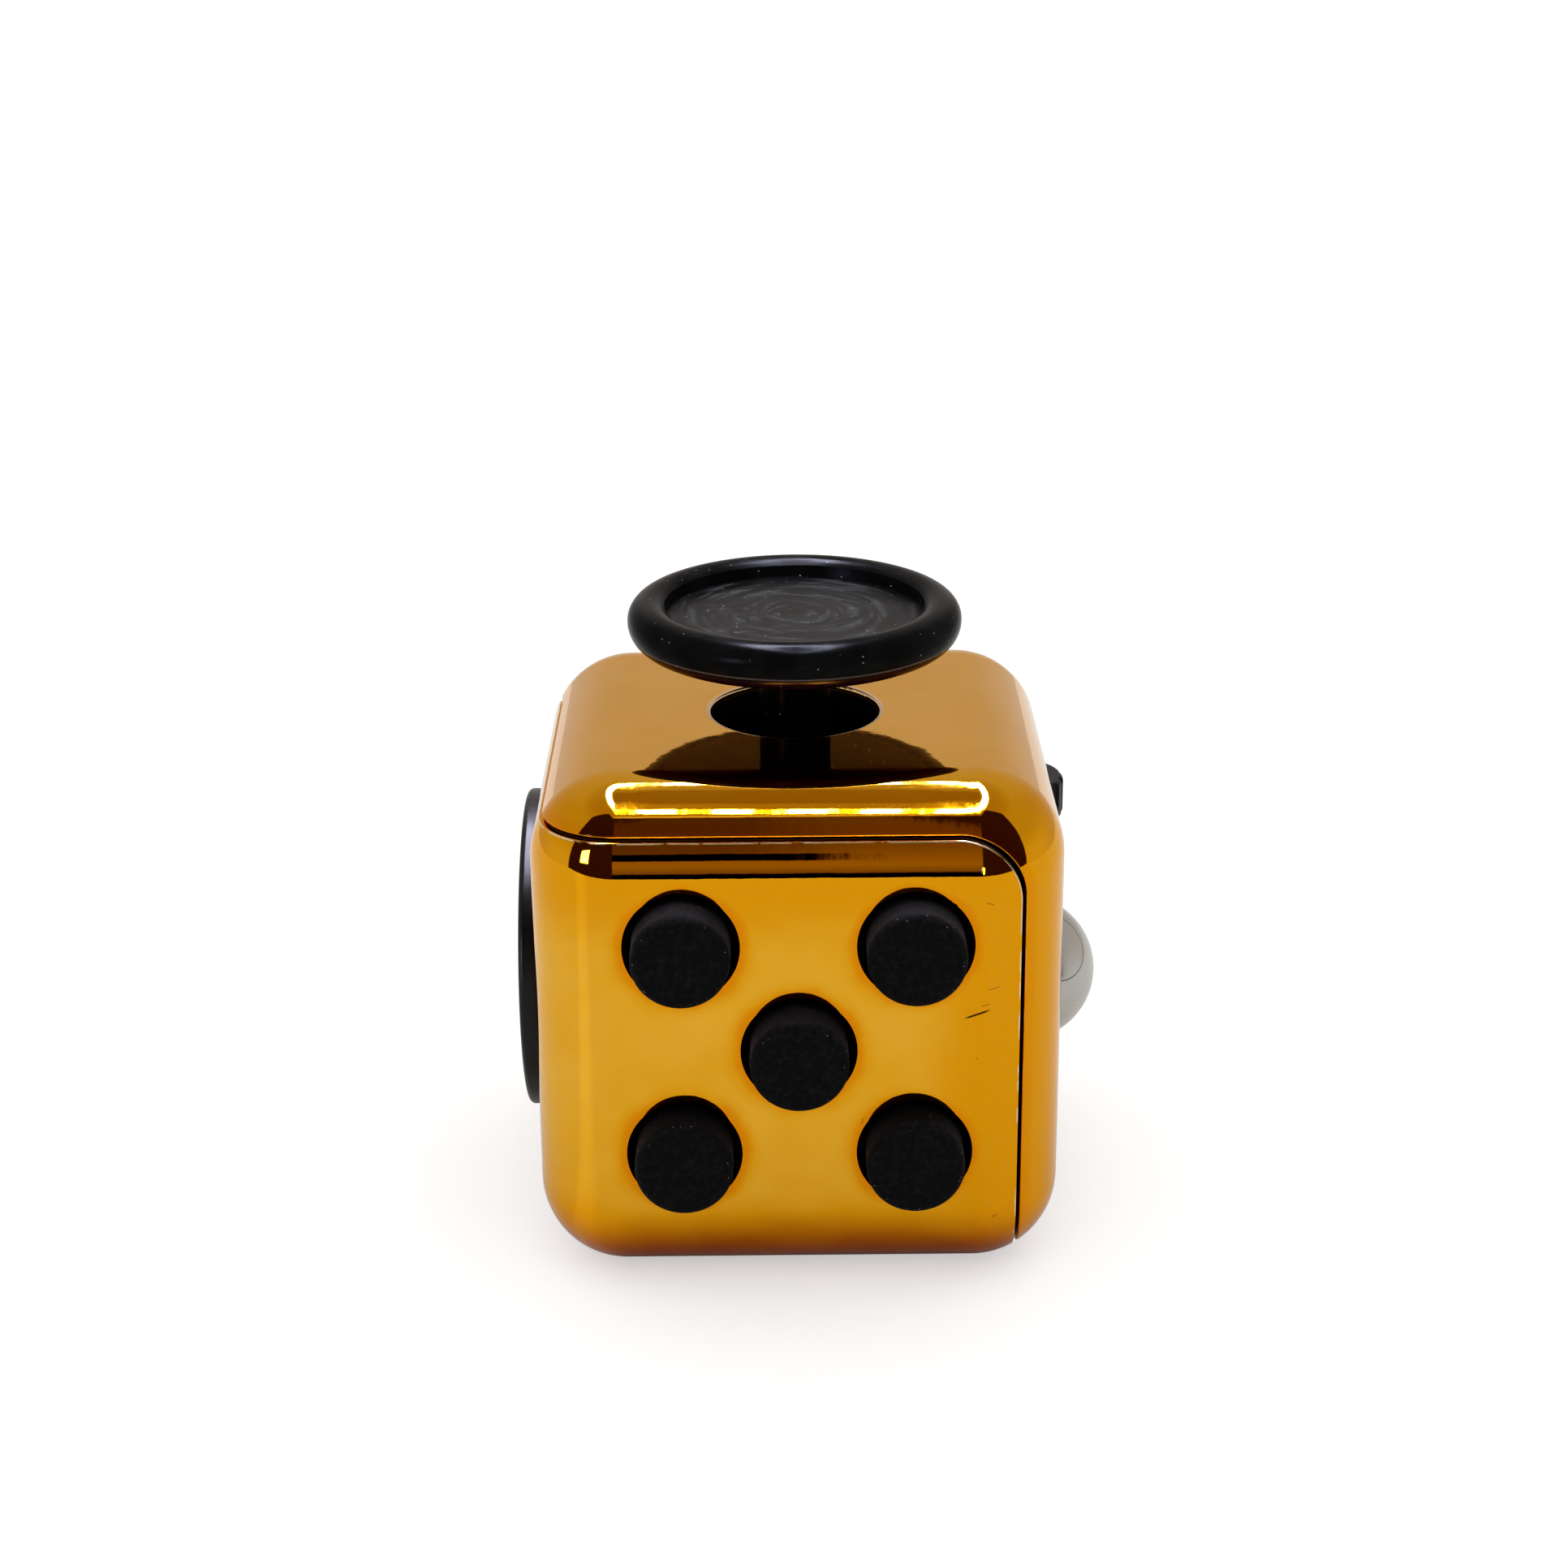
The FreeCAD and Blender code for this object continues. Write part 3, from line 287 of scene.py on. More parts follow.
def lacquer_colour(nodes, place, on_front):
    """Gold, in a deeper orange where the lacquer pools at the button holes, and toward the top and the right
    of the sides; toward the bottom edge the deeper orange is painted shade, and the foot is darkened with
    painted shade standing for the reflected contact shadow.
    """
    x, _, z = nodes.split(place)
    wobble = nodes.times(nodes.noise(place, 0.5), 0.8)
    hole = nodes.minus(near_button_holes(nodes, x, z), wobble)
    at_holes = nodes.times(nodes.step(hole, 3.2, 4.6, reverse=True), on_front)
    bow = nodes.times(nodes.noise(place, 0.25), 2.0)
    high = nodes.step(nodes.plus(z, bow), 23.0, 28.0)
    # painted shade: the bottom edge is deepened in colour, standing for the reflected contact shadow
    low = nodes.step(nodes.minus(z, bow), 3.5, 6.0, reverse=True)
    right = nodes.step(nodes.plus(x, bow), 7.0, 12.0)
    pooling_and_painted_shade = nodes.larger(at_holes, nodes.times(nodes.larger(high, low, right), below_top(nodes, z)))
    brink = nodes.times(nodes.step(hole, 3.3, 3.9, reverse=True), on_front, 0.7)
    wave = nodes.times(nodes.noise(place, 0.3), 1.6)
    # painted shade: the foot darkened and reddened in place of the reflected contact shadow
    painted_foot_shade = nodes.times(nodes.step(nodes.plus(z, wave), 1.8, 6.2, reverse=True), nodes.step(z, 0.02, 0.3))
    cloud = nodes.step(nodes.noise(place, 0.22, detail=3.0), 0.35, 0.7)
    colour = nodes.mix(cloud, GOLD_PALE, GOLD_WARM)
    colour = nodes.mix(pooling_and_painted_shade, colour, LACQUER_POOLING_AND_SHADE)
    colour = nodes.mix(brink, colour, LACQUER_AT_HOLES)
    return nodes.mix(painted_foot_shade, colour, PAINTED_FOOT_SHADE)


def painted_rim_highlight(nodes, place):
    """A painted highlight on the thin edge round the stick's hole."""
    x, y, z = nodes.split(place)
    rim = nodes.math("COMPARE", reach(nodes, x, y), STICK_HOLE_R, 0.16)
    return nodes.times(rim, nodes.step(z, TOP - 0.35, TOP - 0.02))


def painted_joint_highlight(nodes, place, side):
    """Painted highlight lines along both edges of the parting line, patchy, and rarer low down."""
    z = nodes.split(place)[2]
    lines = nodes.larger(band(nodes, side, -0.21, -0.12, 0.02),
                         nodes.times(band(nodes, side, 0.10, 0.18, 0.02), 0.5))
    kept = nodes.times(nodes.step(z, 12.0, 30.0, reverse=True), 0.16)
    patches = nodes.minus(nodes.noise(place, 0.8, detail=3.0), kept)
    return nodes.times(lines, nodes.step(patches, 0.32, 0.5))


def skin_normal(nodes, past, outward):
    """The exact normal of the rounded cube on its skin, and the mesh's own normal elsewhere."""
    on_skin = nodes.math("COMPARE", past, (HALF - CORNER) / MM, 0.02)
    exact = nodes.add("ShaderNodeVectorTransform", vector_type="NORMAL", convert_from="OBJECT",
                      convert_to="WORLD", in_Vector=nodes.vector("NORMALIZE", outward)).outputs[0]
    own = nodes.add("ShaderNodeNewGeometry").outputs["Normal"]
    return nodes.vector("NORMALIZE", nodes.mix_vector(on_skin, own, exact))


def gold_plating():
    """Mirror-bright plating under an orange lacquer that pools at the holes and is deeper orange toward the
    edges; painted shade at the bottom edge, the foot and inside the shell, and painted highlights along the
    joint and round the stick's hole.
    """
    material, nodes, shader = new_material("gold_plating")
    place = millimetres(nodes)
    x, y, z = nodes.split(place)
    past, outward = past_core(nodes, place)
    side = seam_side(nodes, place)
    on_front = nodes.step(y, FRONT + 0.1, FRONT + 0.5, reverse=True)
    rim = painted_rim_highlight(nodes, place)
    beside_joint = nodes.times(band(nodes, side, 0.05, 0.75, 0.25), below_top(nodes, z), 0.55)
    joint_highlight = painted_joint_highlight(nodes, place, side)
    # painted shade: the inside of the shell made black and not metal, for the dark depths of the holes
    inner = nodes.step(past, 4.95, 5.3, reverse=True)
    colour = lacquer_colour(nodes, place, on_front)
    # painted highlight: the pale rim round the stick's hole
    colour = nodes.mix(nodes.times(rim, 0.8), colour, PAINTED_RIM_HIGHLIGHT)
    colour = nodes.mix(beside_joint, colour, LACQUER_AT_JOINT)
    # painted highlight: pale lines along the joint
    colour = nodes.mix(joint_highlight, colour, PAINTED_JOINT_HIGHLIGHT)
    colour = nodes.mix(scratches(nodes, x, z, on_front), colour, SCRATCH_BROWN)
    colour = nodes.mix(inner, colour, PAINTED_SHADE_INSIDE)
    nodes.feed(shader.inputs["Base Color"], colour)
    nodes.feed(shader.inputs["Metallic"], nodes.minus(1.0, inner))

    smear = nodes.noise(nodes.vector("MULTIPLY", place, (0.25, 0.25, 0.6)), 1.0, detail=4.0)
    dull = nodes.larger(nodes.times(inner, 0.6), nodes.times(rim, 0.35), nodes.times(joint_highlight, 0.4))
    nodes.feed(shader.inputs["Roughness"], nodes.larger(nodes.spread(smear, 0.015, 0.05), dull))
    ripple = nodes.plus(nodes.noise(place, 0.3), nodes.times(nodes.noise(place, 1.1), 0.3))
    normal = skin_normal(nodes, past, outward)
    nodes.feed(shader.inputs["Normal"], nodes.bump(ripple, 0.010, normal))
    shader.inputs["Specular Tint"].default_value = rgb(1.0, 0.95, 0.88)
    shader.inputs["Coat Weight"].default_value = 0.30
    shader.inputs["Coat Roughness"].default_value = 0.015
    shader.inputs["Coat IOR"].default_value = 1.45
    return material


def moulded_plastic(name, colour, roughness, grain=0.002, grain_scale=6.0, specular=0.3):
    """Moulded plastic with a fine grain and slight shine changes."""
    material, nodes, shader = new_material(name)
    place = millimetres(nodes)
    fine = nodes.noise(place, grain_scale, detail=3.0)
    broad = nodes.noise(place, 0.35, detail=3.0)
    lighter = tuple(min(c * 1.5 + 0.002, 1.0) for c in colour)
    nodes.feed(shader.inputs["Base Color"],
               nodes.mix(nodes.step(broad, 0.3, 0.75), rgb(*colour), rgb(*lighter)))
    nodes.feed(shader.inputs["Roughness"], nodes.spread(broad, roughness * 0.85, roughness * 1.2))
    nodes.feed(shader.inputs["Normal"], nodes.bump(fine, grain))
    shader.inputs["Specular IOR Level"].default_value = specular
    return material


CAP_DISH_R = 7.4            # the stick's cap: its dish, and the rim from 8.2 mm outward
CAP_RIM_R = 8.2
CAP_DISH_Z = 39.0
CAP_PARTING_Z = 38.48
CAP_BLACK = rgb(0.010, 0.0103, 0.0102)
CAP_GREY = rgb(0.016, 0.0164, 0.0165)
CAP_SMEARED = rgb(0.044, 0.045, 0.044)
CAP_RUBBED = rgb(0.20, 0.20, 0.195)
CAP_PARTING = rgb(0.11, 0.11, 0.11)
# painted light: warm glow bounced from the gold onto the cap's underside
CAP_PAINTED_GOLD_BOUNCE = rgb(0.026, 0.011, 0.013)
CAP_DUST = rgb(0.50, 0.50, 0.49)


def cap_marks(nodes, place, radius):
    """Shares of the cap that are smeared in the dish, rubbed at its edge, or on the parting line."""
    x, y, z = nodes.split(place)
    turn = nodes.math("ARCTAN2", y, nodes.plus(x, 2.0))
    wiped = nodes.add("ShaderNodeCombineXYZ", in_X=nodes.times(radius, 0.9), in_Y=turn).outputs[0]
    swirl = nodes.step(nodes.noise(wiped, 1.6, detail=5.0, distortion=0.8), 0.45, 0.72)
    in_dish = nodes.times(nodes.step(radius, CAP_DISH_R, CAP_RIM_R, reverse=True),
                          nodes.step(z, CAP_DISH_Z, CAP_DISH_Z + 0.3))
    smeared = nodes.times(swirl, in_dish)
    at_front = nodes.step(nodes.size(nodes.minus(turn, -1.45)), 0.3, 0.9, reverse=True)
    hairs = nodes.noise(nodes.vector("MULTIPLY", wiped, (6.0, 0.7, 1.0)), 3.0, detail=3.0)
    rubbed = nodes.times(band(nodes, radius, 8.15, 8.75, 0.12), at_front, nodes.step(hairs, 0.48, 0.62))
    parting = nodes.times(band(nodes, z, CAP_PARTING_Z - 0.06, CAP_PARTING_Z + 0.06, 0.04),
                          nodes.step(radius, 9.0, 9.5))
    return smeared, rubbed, parting


def cap_plastic():
    """Satin black plastic of the stick: turning marks in the dish, hairlines and a little dust, and a
    painted warm glow of light bounced from the gold on its underside.
    """
    material, nodes, shader = new_material("cap_plastic")
    place = millimetres(nodes)
    flat_place = nodes.vector("MULTIPLY", place, (1, 1, 0))
    radius = nodes.vector("LENGTH", flat_place, output="Value")
    on_rim = nodes.step(radius, CAP_RIM_R, 9.0)
    facing = nodes.split(nodes.add("ShaderNodeNewGeometry").outputs["Normal"])[2]
    smeared, rubbed, parting = cap_marks(nodes, place, radius)

    dots, tint = nodes.specks(place, 2.2, 0.13)
    chosen = nodes.step(nodes.split(tint)[0], 0.84, 0.86)
    dust = nodes.times(dots, chosen, nodes.minus(1.0, nodes.times(on_rim, 0.6)))
    broad = nodes.noise(place, 0.3, detail=4.0)
    base = nodes.mix(nodes.step(broad, 0.35, 0.7), CAP_BLACK, CAP_GREY)
    base = nodes.mix(smeared, base, CAP_SMEARED)
    base = nodes.mix(nodes.times(rubbed, 0.8), base, CAP_RUBBED)
    base = nodes.mix(parting, base, CAP_PARTING)
    # painted light: the downward faces tinted by the gold's bounced light
    base = nodes.mix(nodes.step(facing, -0.7, -0.2, reverse=True), base, CAP_PAINTED_GOLD_BOUNCE)
    nodes.feed(shader.inputs["Base Color"], nodes.mix(dust, base, CAP_DUST))

    rough = nodes.plus(nodes.spread(broad, 0.27, 0.37), nodes.times(smeared, 0.16))
    nodes.feed(shader.inputs["Roughness"], nodes.minus(rough, nodes.times(on_rim, 0.10)))
    wander = nodes.times(nodes.noise(place, 0.25), 1.5)
    rings = nodes.math("SINE", nodes.times(nodes.plus(radius, wander), 9.0))
    height = nodes.plus(nodes.times(rings, 0.25), nodes.noise(place, 8.0, detail=3.0))
    height = nodes.plus(height, nodes.times(parting, 12.0))
    nodes.feed(shader.inputs["Normal"], nodes.bump(height, 0.003))
    level = nodes.spread(nodes.step(facing, -0.5, 0.1), 0.10, 0.055)
    level = nodes.plus(level, nodes.times(nodes.minus(0.135, level), nodes.step(facing, 0.75, 0.98)))
    level = nodes.times(level, nodes.minus(1.0, nodes.times(on_rim, 0.4)))
    nodes.feed(shader.inputs["Specular IOR Level"], level)
    return material


def soft_rubber():
    """Matt black rubber with a fine grain, and lint and dust that cling to it."""
    material, nodes, shader = new_material("soft_rubber")
    place = millimetres(nodes)
    dots, tint = nodes.specks(place, 4.2, 0.16)
    chosen = nodes.step(nodes.split(tint)[1], 0.80, 0.82)
    dust = nodes.times(dots, chosen)
    mottle = nodes.noise(place, 2.5, detail=5.0, roughness=0.7)
    base = nodes.mix(nodes.step(mottle, 0.4, 0.75), rgb(0.009, 0.009, 0.009), rgb(0.017, 0.0168, 0.0165))
    nodes.feed(shader.inputs["Base Color"], nodes.mix(dust, base, rgb(0.26, 0.24, 0.23)))
    shader.inputs["Roughness"].default_value = 0.75
    shader.inputs["Specular IOR Level"].default_value = 0.12
    shader.inputs["Sheen Weight"].default_value = 0.03
    grain = nodes.noise(place, 7.0, detail=4.0, roughness=0.65)
    nodes.feed(shader.inputs["Normal"], nodes.bump(grain, 0.03))
    return material


def metal(name, colour, roughness, stretch=(1, 1, 1), scale=4.0, depth=0.002, hairline=None):
    """Bare metal with fine marks drawn out by the stretch, and maybe one hairline arc."""
    material, nodes, shader = new_material(name)
    place = nodes.vector("MULTIPLY", millimetres(nodes), stretch)
    marks = nodes.noise(place, scale, detail=4.0, roughness=0.65)
    broad = nodes.noise(place, 0.4, detail=2.0)
    darker = tuple(c * 0.8 for c in colour)
    base = nodes.mix(broad, rgb(*colour), rgb(*darker))
    if hairline:
        middle, radius = hairline
        away = nodes.vector("DISTANCE", millimetres(nodes), middle, output="Value")
        arc = band(nodes, away, radius - 0.03, radius + 0.03, 0.015)
        base = nodes.mix(nodes.times(arc, 0.9), base, rgb(0.05, 0.045, 0.04))
    nodes.feed(shader.inputs["Base Color"], base)
    shader.inputs["Metallic"].default_value = 1.0
    nodes.feed(shader.inputs["Roughness"], nodes.spread(marks, roughness * 0.75, roughness * 1.35))
    nodes.feed(shader.inputs["Normal"], nodes.bump(marks, depth))
    return material


STREAK_SLOPE = 1.06           # across over forward, along the painted streak of light on the paper


def paper(name, tone, glow=0.0, painted_streak=False):
    """Pale paper with a trace of fibre; the glow keeps a wide backdrop evenly white; the streak option
    paints a brighter streak of light along a diagonal in front of the toy.
    """
    material, nodes, shader = new_material(name)
    place = millimetres(nodes)
    fibre = nodes.noise(place, 0.6, detail=4.0)
    colour = nodes.mix(fibre, rgb(*(tone,) * 3), rgb(*(tone * 0.98,) * 3))
    if painted_streak:
        # painted light: a brighter streak along a diagonal in front of the toy, for the plating to mirror
        x, y, _ = nodes.split(place)
        slope = nodes.math("DIVIDE", x, nodes.math("MINIMUM", y, -1.0))
        streak_light = nodes.step(nodes.size(nodes.minus(slope, STREAK_SLOPE)), 0.08, 0.3, reverse=True)
        streak_light = nodes.times(streak_light, nodes.step(y, -6.0, -3.0, reverse=True))
        colour = nodes.mix(streak_light, colour, rgb(*(tone * 1.12,) * 3))
    nodes.feed(shader.inputs["Base Color"], colour)
    shader.inputs["Roughness"].default_value = 0.9
    shader.inputs["Specular IOR Level"].default_value = 0.1
    shader.inputs["Emission Color"].default_value = rgb(1.0, 1.0, 1.0)
    shader.inputs["Emission Strength"].default_value = glow
    return material


BALL_HAIRLINE = ((16.6, -7.3, 19.4), 2.3)      # middle and radius of the mark on the ball

SLOT_MATERIALS = {
    "gold_case": gold_plating(),
    "black_plastic": moulded_plastic("black_plastic", (0.015, 0.0148, 0.0146), 0.34),
    "gear_metal": moulded_plastic("gear_plastic", (0.012, 0.012, 0.012), 0.38, grain=0.003, specular=0.2),
    "black_rubber": soft_rubber(),
    "inner_plastic": moulded_plastic("inner_plastic", (0.020, 0.020, 0.022), 0.55,
                                     grain=0.006, grain_scale=4.0),
    "white_nylon": moulded_plastic("white_nylon", (0.62, 0.60, 0.54), 0.45,
                                   grain=0.004, grain_scale=4.0),
    "satin_steel": metal("satin_steel", (0.55, 0.535, 0.495), 0.24, scale=2.5, depth=0.0006,
                         hairline=BALL_HAIRLINE),
    "spring_steel": metal("spring_steel", (0.55, 0.55, 0.56), 0.28, stretch=(1, 1, 3)),
    "screw_steel": metal("screw_steel", (0.50, 0.50, 0.52), 0.32, stretch=(2, 2, 2)),
    "zinc_steel": metal("zinc_steel", (0.55, 0.55, 0.53), 0.35, scale=8.0),
}
NODE_MATERIALS = {"joystick_cap": cap_plastic()}


def dress_nodes():
    """Every CAD node gets the material of its slot, or its own."""
    for part in frame["record"]["subparts"]:
        material = NODE_MATERIALS.get(part["node"], SLOT_MATERIALS[part["material_slot"]])
        mesh = frame["nodes"][part["node"]].data
        mesh.materials.clear()
        mesh.materials.append(material)


dress_nodes()


# ---------------------------------------------------------------- stage
def floor(name, low, high, height, material):
    """A flat pale sheet between two corners."""
    mesh = bpy.data.meshes.new(name)
    corners = [(low[0], low[1], height), (high[0], low[1], height),
               (high[0], high[1], height), (low[0], high[1], height)]
    mesh.from_pydata(corners, [], [(0, 1, 2, 3)])
    mesh.materials.append(material)
    sheet = bpy.data.objects.new(name, mesh)
    bpy.context.scene.collection.objects.link(sheet)
    return sheet


TABLE_HALF = 0.30           # the sheet that the plating mirrors, in metres
TABLE_FRONT = -0.148
GROUND_HALF = 8.0           # the wide floor that the camera sees
GROUND_DROP = 0.02 * MM     # it lies this little lower, so that the two never coincide

# the sheet the plating mirrors carries a painted streak of light
floor_near = floor("floor_near", (-TABLE_HALF, TABLE_FRONT), (TABLE_HALF, TABLE_HALF), 0.0,
                   paper("paper", 0.71, painted_streak=True))
floor_near.visible_camera = False
floor_near.visible_diffuse = False
floor_near.visible_shadow = False
floor_far = floor("floor_far", (-GROUND_HALF, -GROUND_HALF), (GROUND_HALF, GROUND_HALF), -GROUND_DROP,
                  paper("pale_ground", 0.48, glow=0.52))
floor_far.visible_glossy = False


# ---------------------------------------------------------------- light
ROOF = 300.0                # millimetres from the toy to the roof of the tent
RING_X, RING_Y = 1.6, 51.0  # middle of the ring of lamps in the roof
RING_SKEW = 0.5             # how far it slants toward the front for each millimetre to the right
RING = (17.4, 2.7, 31.0, 131.0)         # half its straight side, its bend, its drawn-out end, half its depth
PANEL = (13.5, 2.7, 8.0, 62.0)          # the same for the duller panel inside it
PANEL_FORWARD = 8.0         # how far the panel's middle lies in front of the ring's
BEND_SHARE = 0.64           # share of the way out to a ring's end that the tight bend takes
LAMP_TURN = 0.8055          # radians per millimetre along the ring: one lamp every 7.8 mm
LAMP_TILT = 0.0055          # how far the row of lamps leans for each millimetre backward
LAMP_START = 2.4
RING_BRIGHTNESS = 60.0
GLOW_BRIGHTNESS = 0.12


def oval(nodes, x, y, straight, bend, bulge, half):
    """1 on an outline with straight sides, tight bends and drawn-out ends; and how far round."""
    past_straight = nodes.minus(nodes.size(x), straight)
    tight = nodes.add("ShaderNodeMapRange", in_Value=past_straight)
    tight.inputs["From Max"].default_value = bend
    tight.inputs["To Max"].default_value = BEND_SHARE
    drawn = nodes.larger(nodes.minus(past_straight, bend), 0.0)
    across = nodes.plus(tight.outputs[0], nodes.times(drawn, (1.0 - BEND_SHARE) / bulge))
    outline = reach(nodes, across, nodes.math("DIVIDE", y, half))
    turned = nodes.math("DIVIDE", across, nodes.larger(outline, 0.01))
    return outline, turned


def lamp_frame(nodes, direction):
    """Brightness of the ring of lamps in the roof, and the duller panel inside it."""
    x, y, z = nodes.split(direction)
    above = nodes.larger(z, 0.05)
    x = nodes.minus(nodes.times(nodes.math("DIVIDE", x, above), ROOF), RING_X)
    y = nodes.minus(nodes.times(nodes.math("DIVIDE", y, above), ROOF), RING_Y)
    y = nodes.plus(y, nodes.times(x, RING_SKEW))
    over = nodes.step(z, 0.1, 0.2)
    outline, turned = oval(nodes, x, y, *RING)
    gap = nodes.math("DIVIDE", nodes.size(nodes.minus(outline, 1.0)),
                     nodes.plus(nodes.times(turned, 0.04), 0.145))
    glow = nodes.times(nodes.step(gap, 0.6, 1.9, reverse=True), GLOW_BRIGHTNESS)
    along = nodes.minus(nodes.minus(x, nodes.times(y, LAMP_TILT)), LAMP_START)
    beads = nodes.math("COSINE", nodes.times(along, LAMP_TURN))
    lit = nodes.mix(nodes.step(turned, 0.3, 0.5), nodes.step(beads, -0.25, 0.1), rgb(1.0, 1.0, 1.0))
    core = nodes.times(nodes.step(gap, 0.88, 1.04, reverse=True), lit, RING_BRIGHTNESS)
    inner, _ = oval(nodes, x, nodes.plus(y, PANEL_FORWARD), *PANEL)
    panel = nodes.times(nodes.step(inner, 0.9, 1.05, reverse=True), over)
    return nodes.times(glow, over), nodes.times(core, over), panel


ROOM_TONES = [              # rise over the distance in front, and the colour there
    (-0.24, (0.002, 0.001, 0.001)),
    (-0.12, (0.002, 0.001, 0.001)),
    (-0.08, (0.28, 0.22, 0.10)),
    (0.08, (0.43, 0.34, 0.13)),
    (0.17, (0.40, 0.31, 0.12)),
    (0.24, (0.38, 0.29, 0.11)),
    (0.50, (0.28, 0.22, 0.10)),
    (1.00, (0.22, 0.17, 0.10)),
    (2.30, (0.20, 0.15, 0.10)),
]
ROOM_LOW, ROOM_HIGH = -0.3, 2.4
ROOM_SIDE = rgb(0.070, 0.045, 0.040)
ROOM_DIM = rgb(0.10, 0.07, 0.04)
ROOM_BLACK = rgb(0.004, 0.002, 0.002)
WINDOW = rgb(18.0, 18.0, 26.0)
WINDOWS = [                 # slant from and to, its softness, rise from and to, its softness
    (-1.12, -0.78, 0.02, 0.12, 0.50, 0.02),
    (0.116, 0.144, 0.005, -0.16, -0.02, 0.01),
    (0.104, 0.120, 0.003, -0.07, -0.01, 0.01),
]
TENT_LOW = rgb(0.84, 0.82, 0.80)
TENT_HIGH = rgb(0.66, 0.65, 0.64)
TENT_BACK = rgb(0.66, 0.60, 0.56)
TENT_SWEEP = rgb(0.70, 0.66, 0.63)      # where the back wall comes down to the floor
TENT_ROOF = rgb(0.55, 0.48, 0.36)
LAMP_PANEL = rgb(0.40, 0.32, 0.19)
LAMP_GLOW = (1.0, 1.08, 1.6)
LAMP_CORE = (1.0, 1.0, 1.3)
HEM = rgb(1.0, 1.0, 1.9)
SOFT_BELOW = rgb(0.72, 0.72, 0.72)
SOFT_ABOVE = rgb(1.45, 1.45, 1.45)


def room_ramp(nodes, rise):
    """The dim room's colour by height, through the opening in front."""
    share = nodes.add("ShaderNodeMapRange", in_Value=rise)
    share.inputs["From Min"].default_value = ROOM_LOW
    share.inputs["From Max"].default_value = ROOM_HIGH
    ramp = nodes.add("ShaderNodeValToRGB", in_Fac=share.outputs[0])
    stops = ramp.color_ramp
    while len(stops.elements) < len(ROOM_TONES):
        stops.elements.new(0.5)
    for stop, (level, tone) in zip(stops.elements, ROOM_TONES):
        stop.position = (level - ROOM_LOW) / (ROOM_HIGH - ROOM_LOW)
        stop.color = tone + (1.0,)
    return ramp.outputs["Color"]


def room_colour(nodes, slant, aside, rise):
    """The room: its colour by height, dark shapes in the middle, dark sides, and bright windows."""
    left = nodes.step(slant, 0.005, 0.04, reverse=True)
    streak = nodes.times(band(nodes, rise, 0.20, 0.36, 0.015), left)
    dim = nodes.times(nodes.step(rise, 0.2, 0.3), nodes.step(slant, -0.02, 0.04, reverse=True), 0.6)
    middle = nodes.mix(dim, room_ramp(nodes, rise), ROOM_DIM)
    middle = nodes.mix(streak, middle, ROOM_BLACK)
    aisle = nodes.step(aside, 0.09, 0.13, reverse=True)
    colour = nodes.mix(aisle, ROOM_SIDE, middle)
    windows = []
    for left_edge, right_edge, soft_across, low, high, soft_up in WINDOWS:
        windows.append(nodes.times(band(nodes, slant, left_edge, right_edge, soft_across),
                                   band(nodes, rise, low, high, soft_up)))
    return nodes.mix(nodes.larger(*windows), colour, WINDOW)


def tent_colour(nodes, direction):
    """The tent: pale walls, a warmer back and roof, and the lamps in the roof."""
    _, y, z = nodes.split(direction)
    back = nodes.step(y, 0.0, 0.9)
    colour = nodes.mix(nodes.step(z, 0.05, 0.5), TENT_LOW, TENT_HIGH)
    colour = nodes.mix(back, colour, TENT_BACK)
    sweep = nodes.times(nodes.step(z, -0.02, 0.28, reverse=True), back)
    colour = nodes.mix(sweep, colour, TENT_SWEEP)
    colour = nodes.mix(nodes.step(z, 0.75, 0.95), colour, TENT_ROOF)
    glow, core, panel = lamp_frame(nodes, direction)
    colour = nodes.mix(panel, colour, LAMP_PANEL)
    colour = nodes.vector("ADD", colour, nodes.vector("MULTIPLY", LAMP_GLOW, glow))
    return nodes.vector("ADD", colour, nodes.vector("MULTIPLY", LAMP_CORE, core))


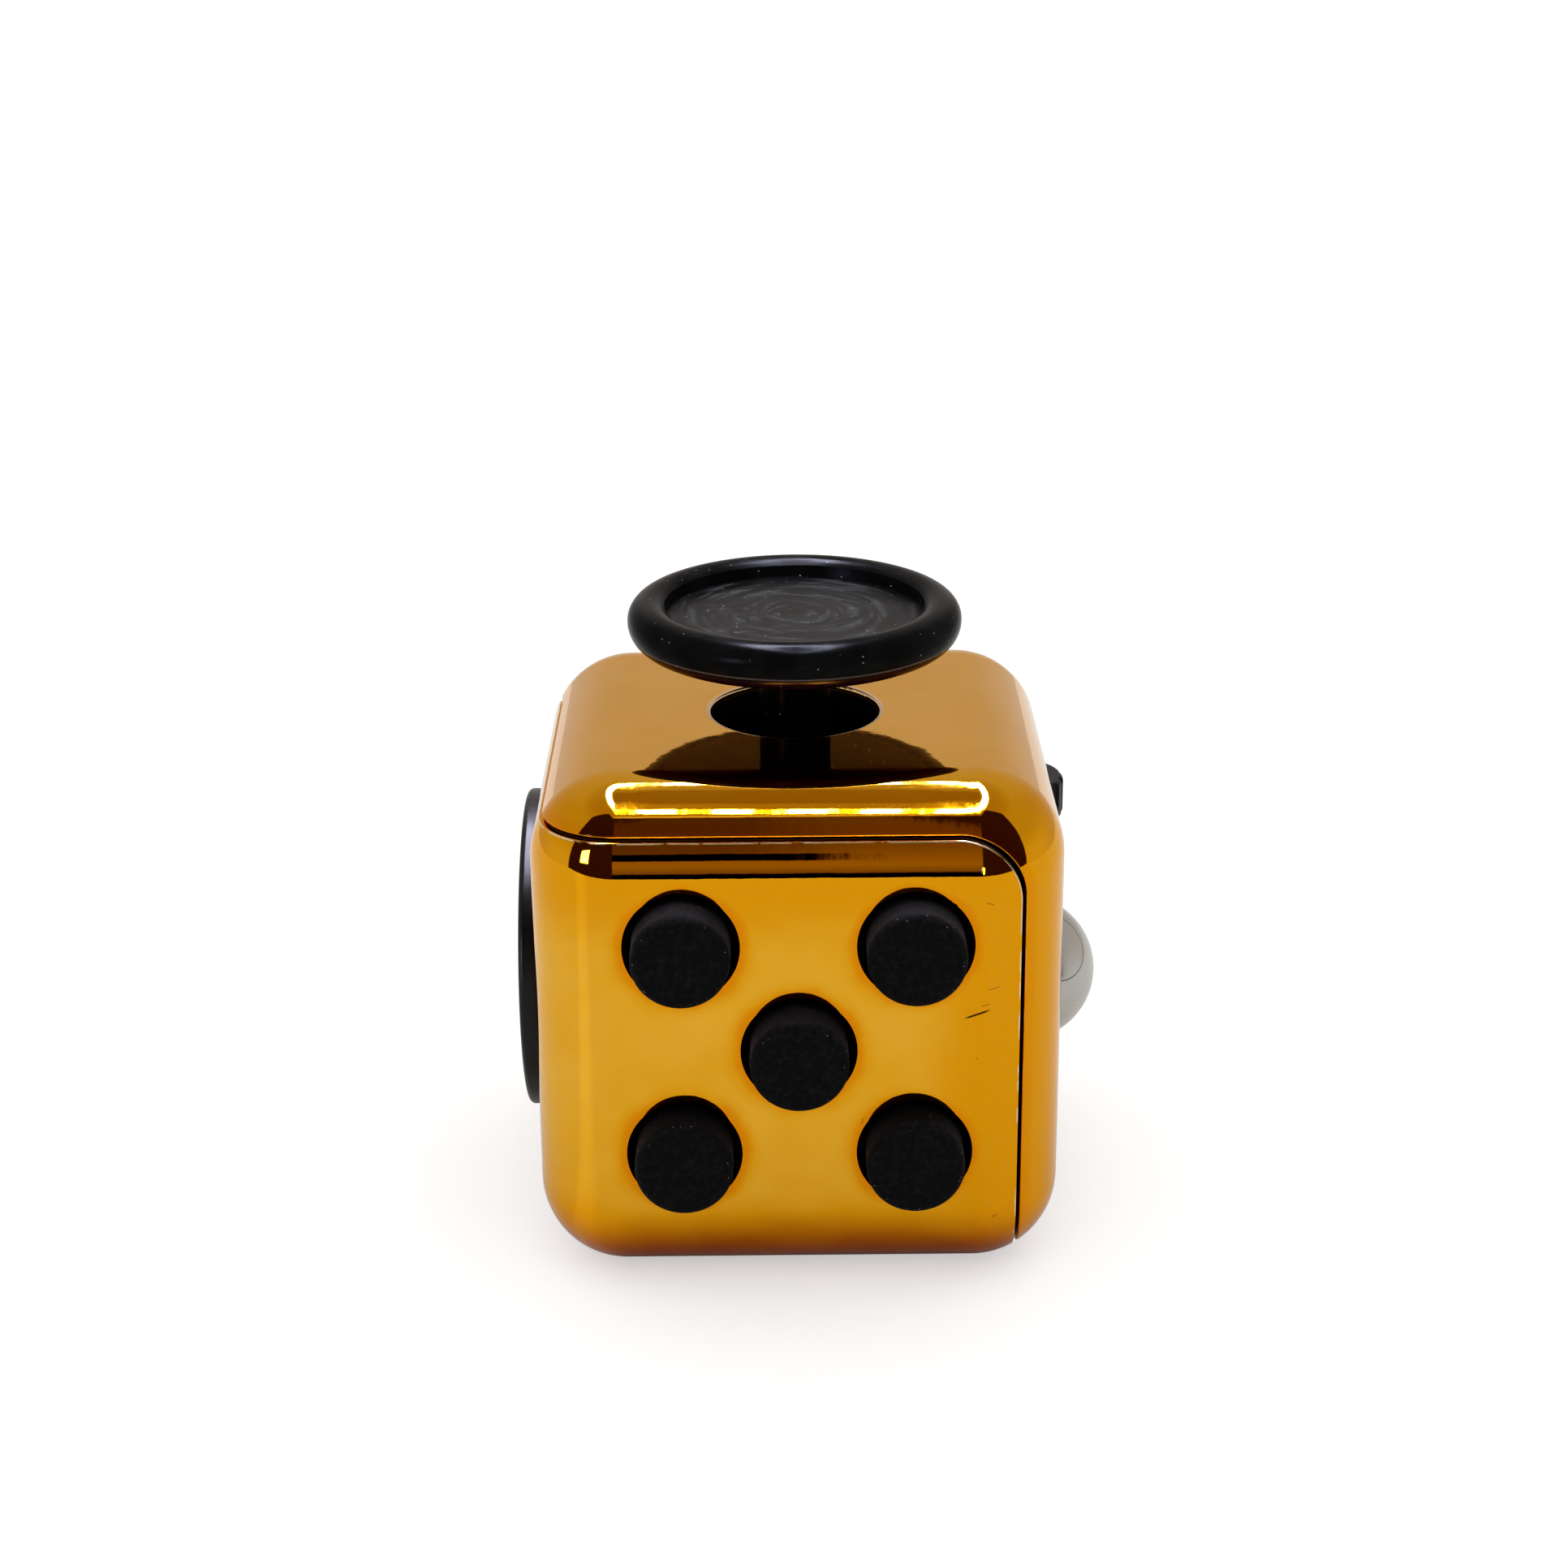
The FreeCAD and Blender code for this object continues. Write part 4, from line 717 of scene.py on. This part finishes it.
def world():
    """White tent all round, and a dim room beyond its open front."""
    scene_world = bpy.data.worlds.new("tent")
    bpy.context.scene.world = scene_world
    scene_world.use_nodes = True
    tree = scene_world.node_tree
    tree.nodes.clear()
    nodes = Nodes(tree)
    direction = nodes.add("ShaderNodeTexCoord").outputs["Generated"]
    x, y, z = nodes.split(direction)
    forward = nodes.larger(nodes.times(y, -1.0), 0.001)
    slant = nodes.math("DIVIDE", x, forward)
    aside = nodes.size(slant)
    rise = nodes.math("DIVIDE", z, forward)

    in_front = nodes.step(y, -0.03, -0.01, reverse=True)
    beside = nodes.step(aside, 2.0, 2.15, reverse=True)
    roof_edge = nodes.plus(nodes.times(nodes.step(aside, 0.15, 0.7), 1.3), 2.3)
    past_roof = nodes.minus(rise, roof_edge)
    opening = nodes.times(in_front, beside, nodes.step(past_roof, 0.0, 0.2, reverse=True))
    hem = nodes.times(band(nodes, past_roof, 0.16, 0.42, 0.05),
                      nodes.step(aside, 0.13, 0.19, reverse=True), in_front)
    tent = nodes.mix(hem, tent_colour(nodes, direction), HEM)
    mirrored = nodes.mix(opening, tent, room_colour(nodes, slant, aside, rise))

    soft = nodes.mix(nodes.step(z, -0.2, 1.0), SOFT_BELOW, SOFT_ABOVE)
    path = nodes.add("ShaderNodeLightPath").outputs
    colour = nodes.mix(path["Is Glossy Ray"], soft, mirrored)
    colour = nodes.mix(path["Is Camera Ray"], colour, rgb(1.0, 1.0, 1.0))
    background = nodes.add("ShaderNodeBackground", in_Color=colour)
    output = nodes.add("ShaderNodeOutputWorld")
    tree.links.new(background.outputs[0], output.inputs["Surface"])


TONE_LEVELS = (0.01, 0.03, 0.08, 0.2, 0.45)
TOE = 0.06                  # how far up the shadows are deepened


def photographic_tone():
    """Deepen the shadows a little, as a camera's tone curve does."""
    settings = bpy.context.scene.view_settings
    settings.view_transform = "Standard"
    settings.use_curve_mapping = True
    curve = settings.curve_mapping.curves[3]
    for level in TONE_LEVELS:
        curve.points.new(level, (1.0 + TOE) * level * level / (level + TOE))
    settings.curve_mapping.update()


world()
photographic_tone()


# ---------------------------------------------------------------- camera
def camera():
    """Level with the front face and a little above it."""
    azimuth, elevation, roll = (math.radians(a) for a in (-0.18, 20.8, -0.44))
    distance, shift_x, shift_up = 0.2001, -0.83 * MM, 10.56 * MM
    back = Vector((math.sin(azimuth) * math.cos(elevation),
                   -math.cos(azimuth) * math.cos(elevation), math.sin(elevation)))
    level = (-back).cross(Vector((0, 0, 1))).normalized()
    upright = level.cross(-back)
    right = level * math.cos(roll) + upright * math.sin(roll)
    up = upright * math.cos(roll) - level * math.sin(roll)
    data = bpy.data.cameras.new("camera")
    data.sensor_width = 36.0
    data.lens = 69.1
    data.clip_start = 0.01
    data.clip_end = 20.0
    view = bpy.data.objects.new("camera", data)
    place = CUBE_CENTRE + back * distance + right * shift_x + up * shift_up
    turn = Matrix((right, up, back)).transposed()
    view.matrix_world = Matrix.Translation(place) @ turn.to_4x4()
    bpy.context.scene.collection.objects.link(view)
    bpy.context.scene.camera = view


camera()
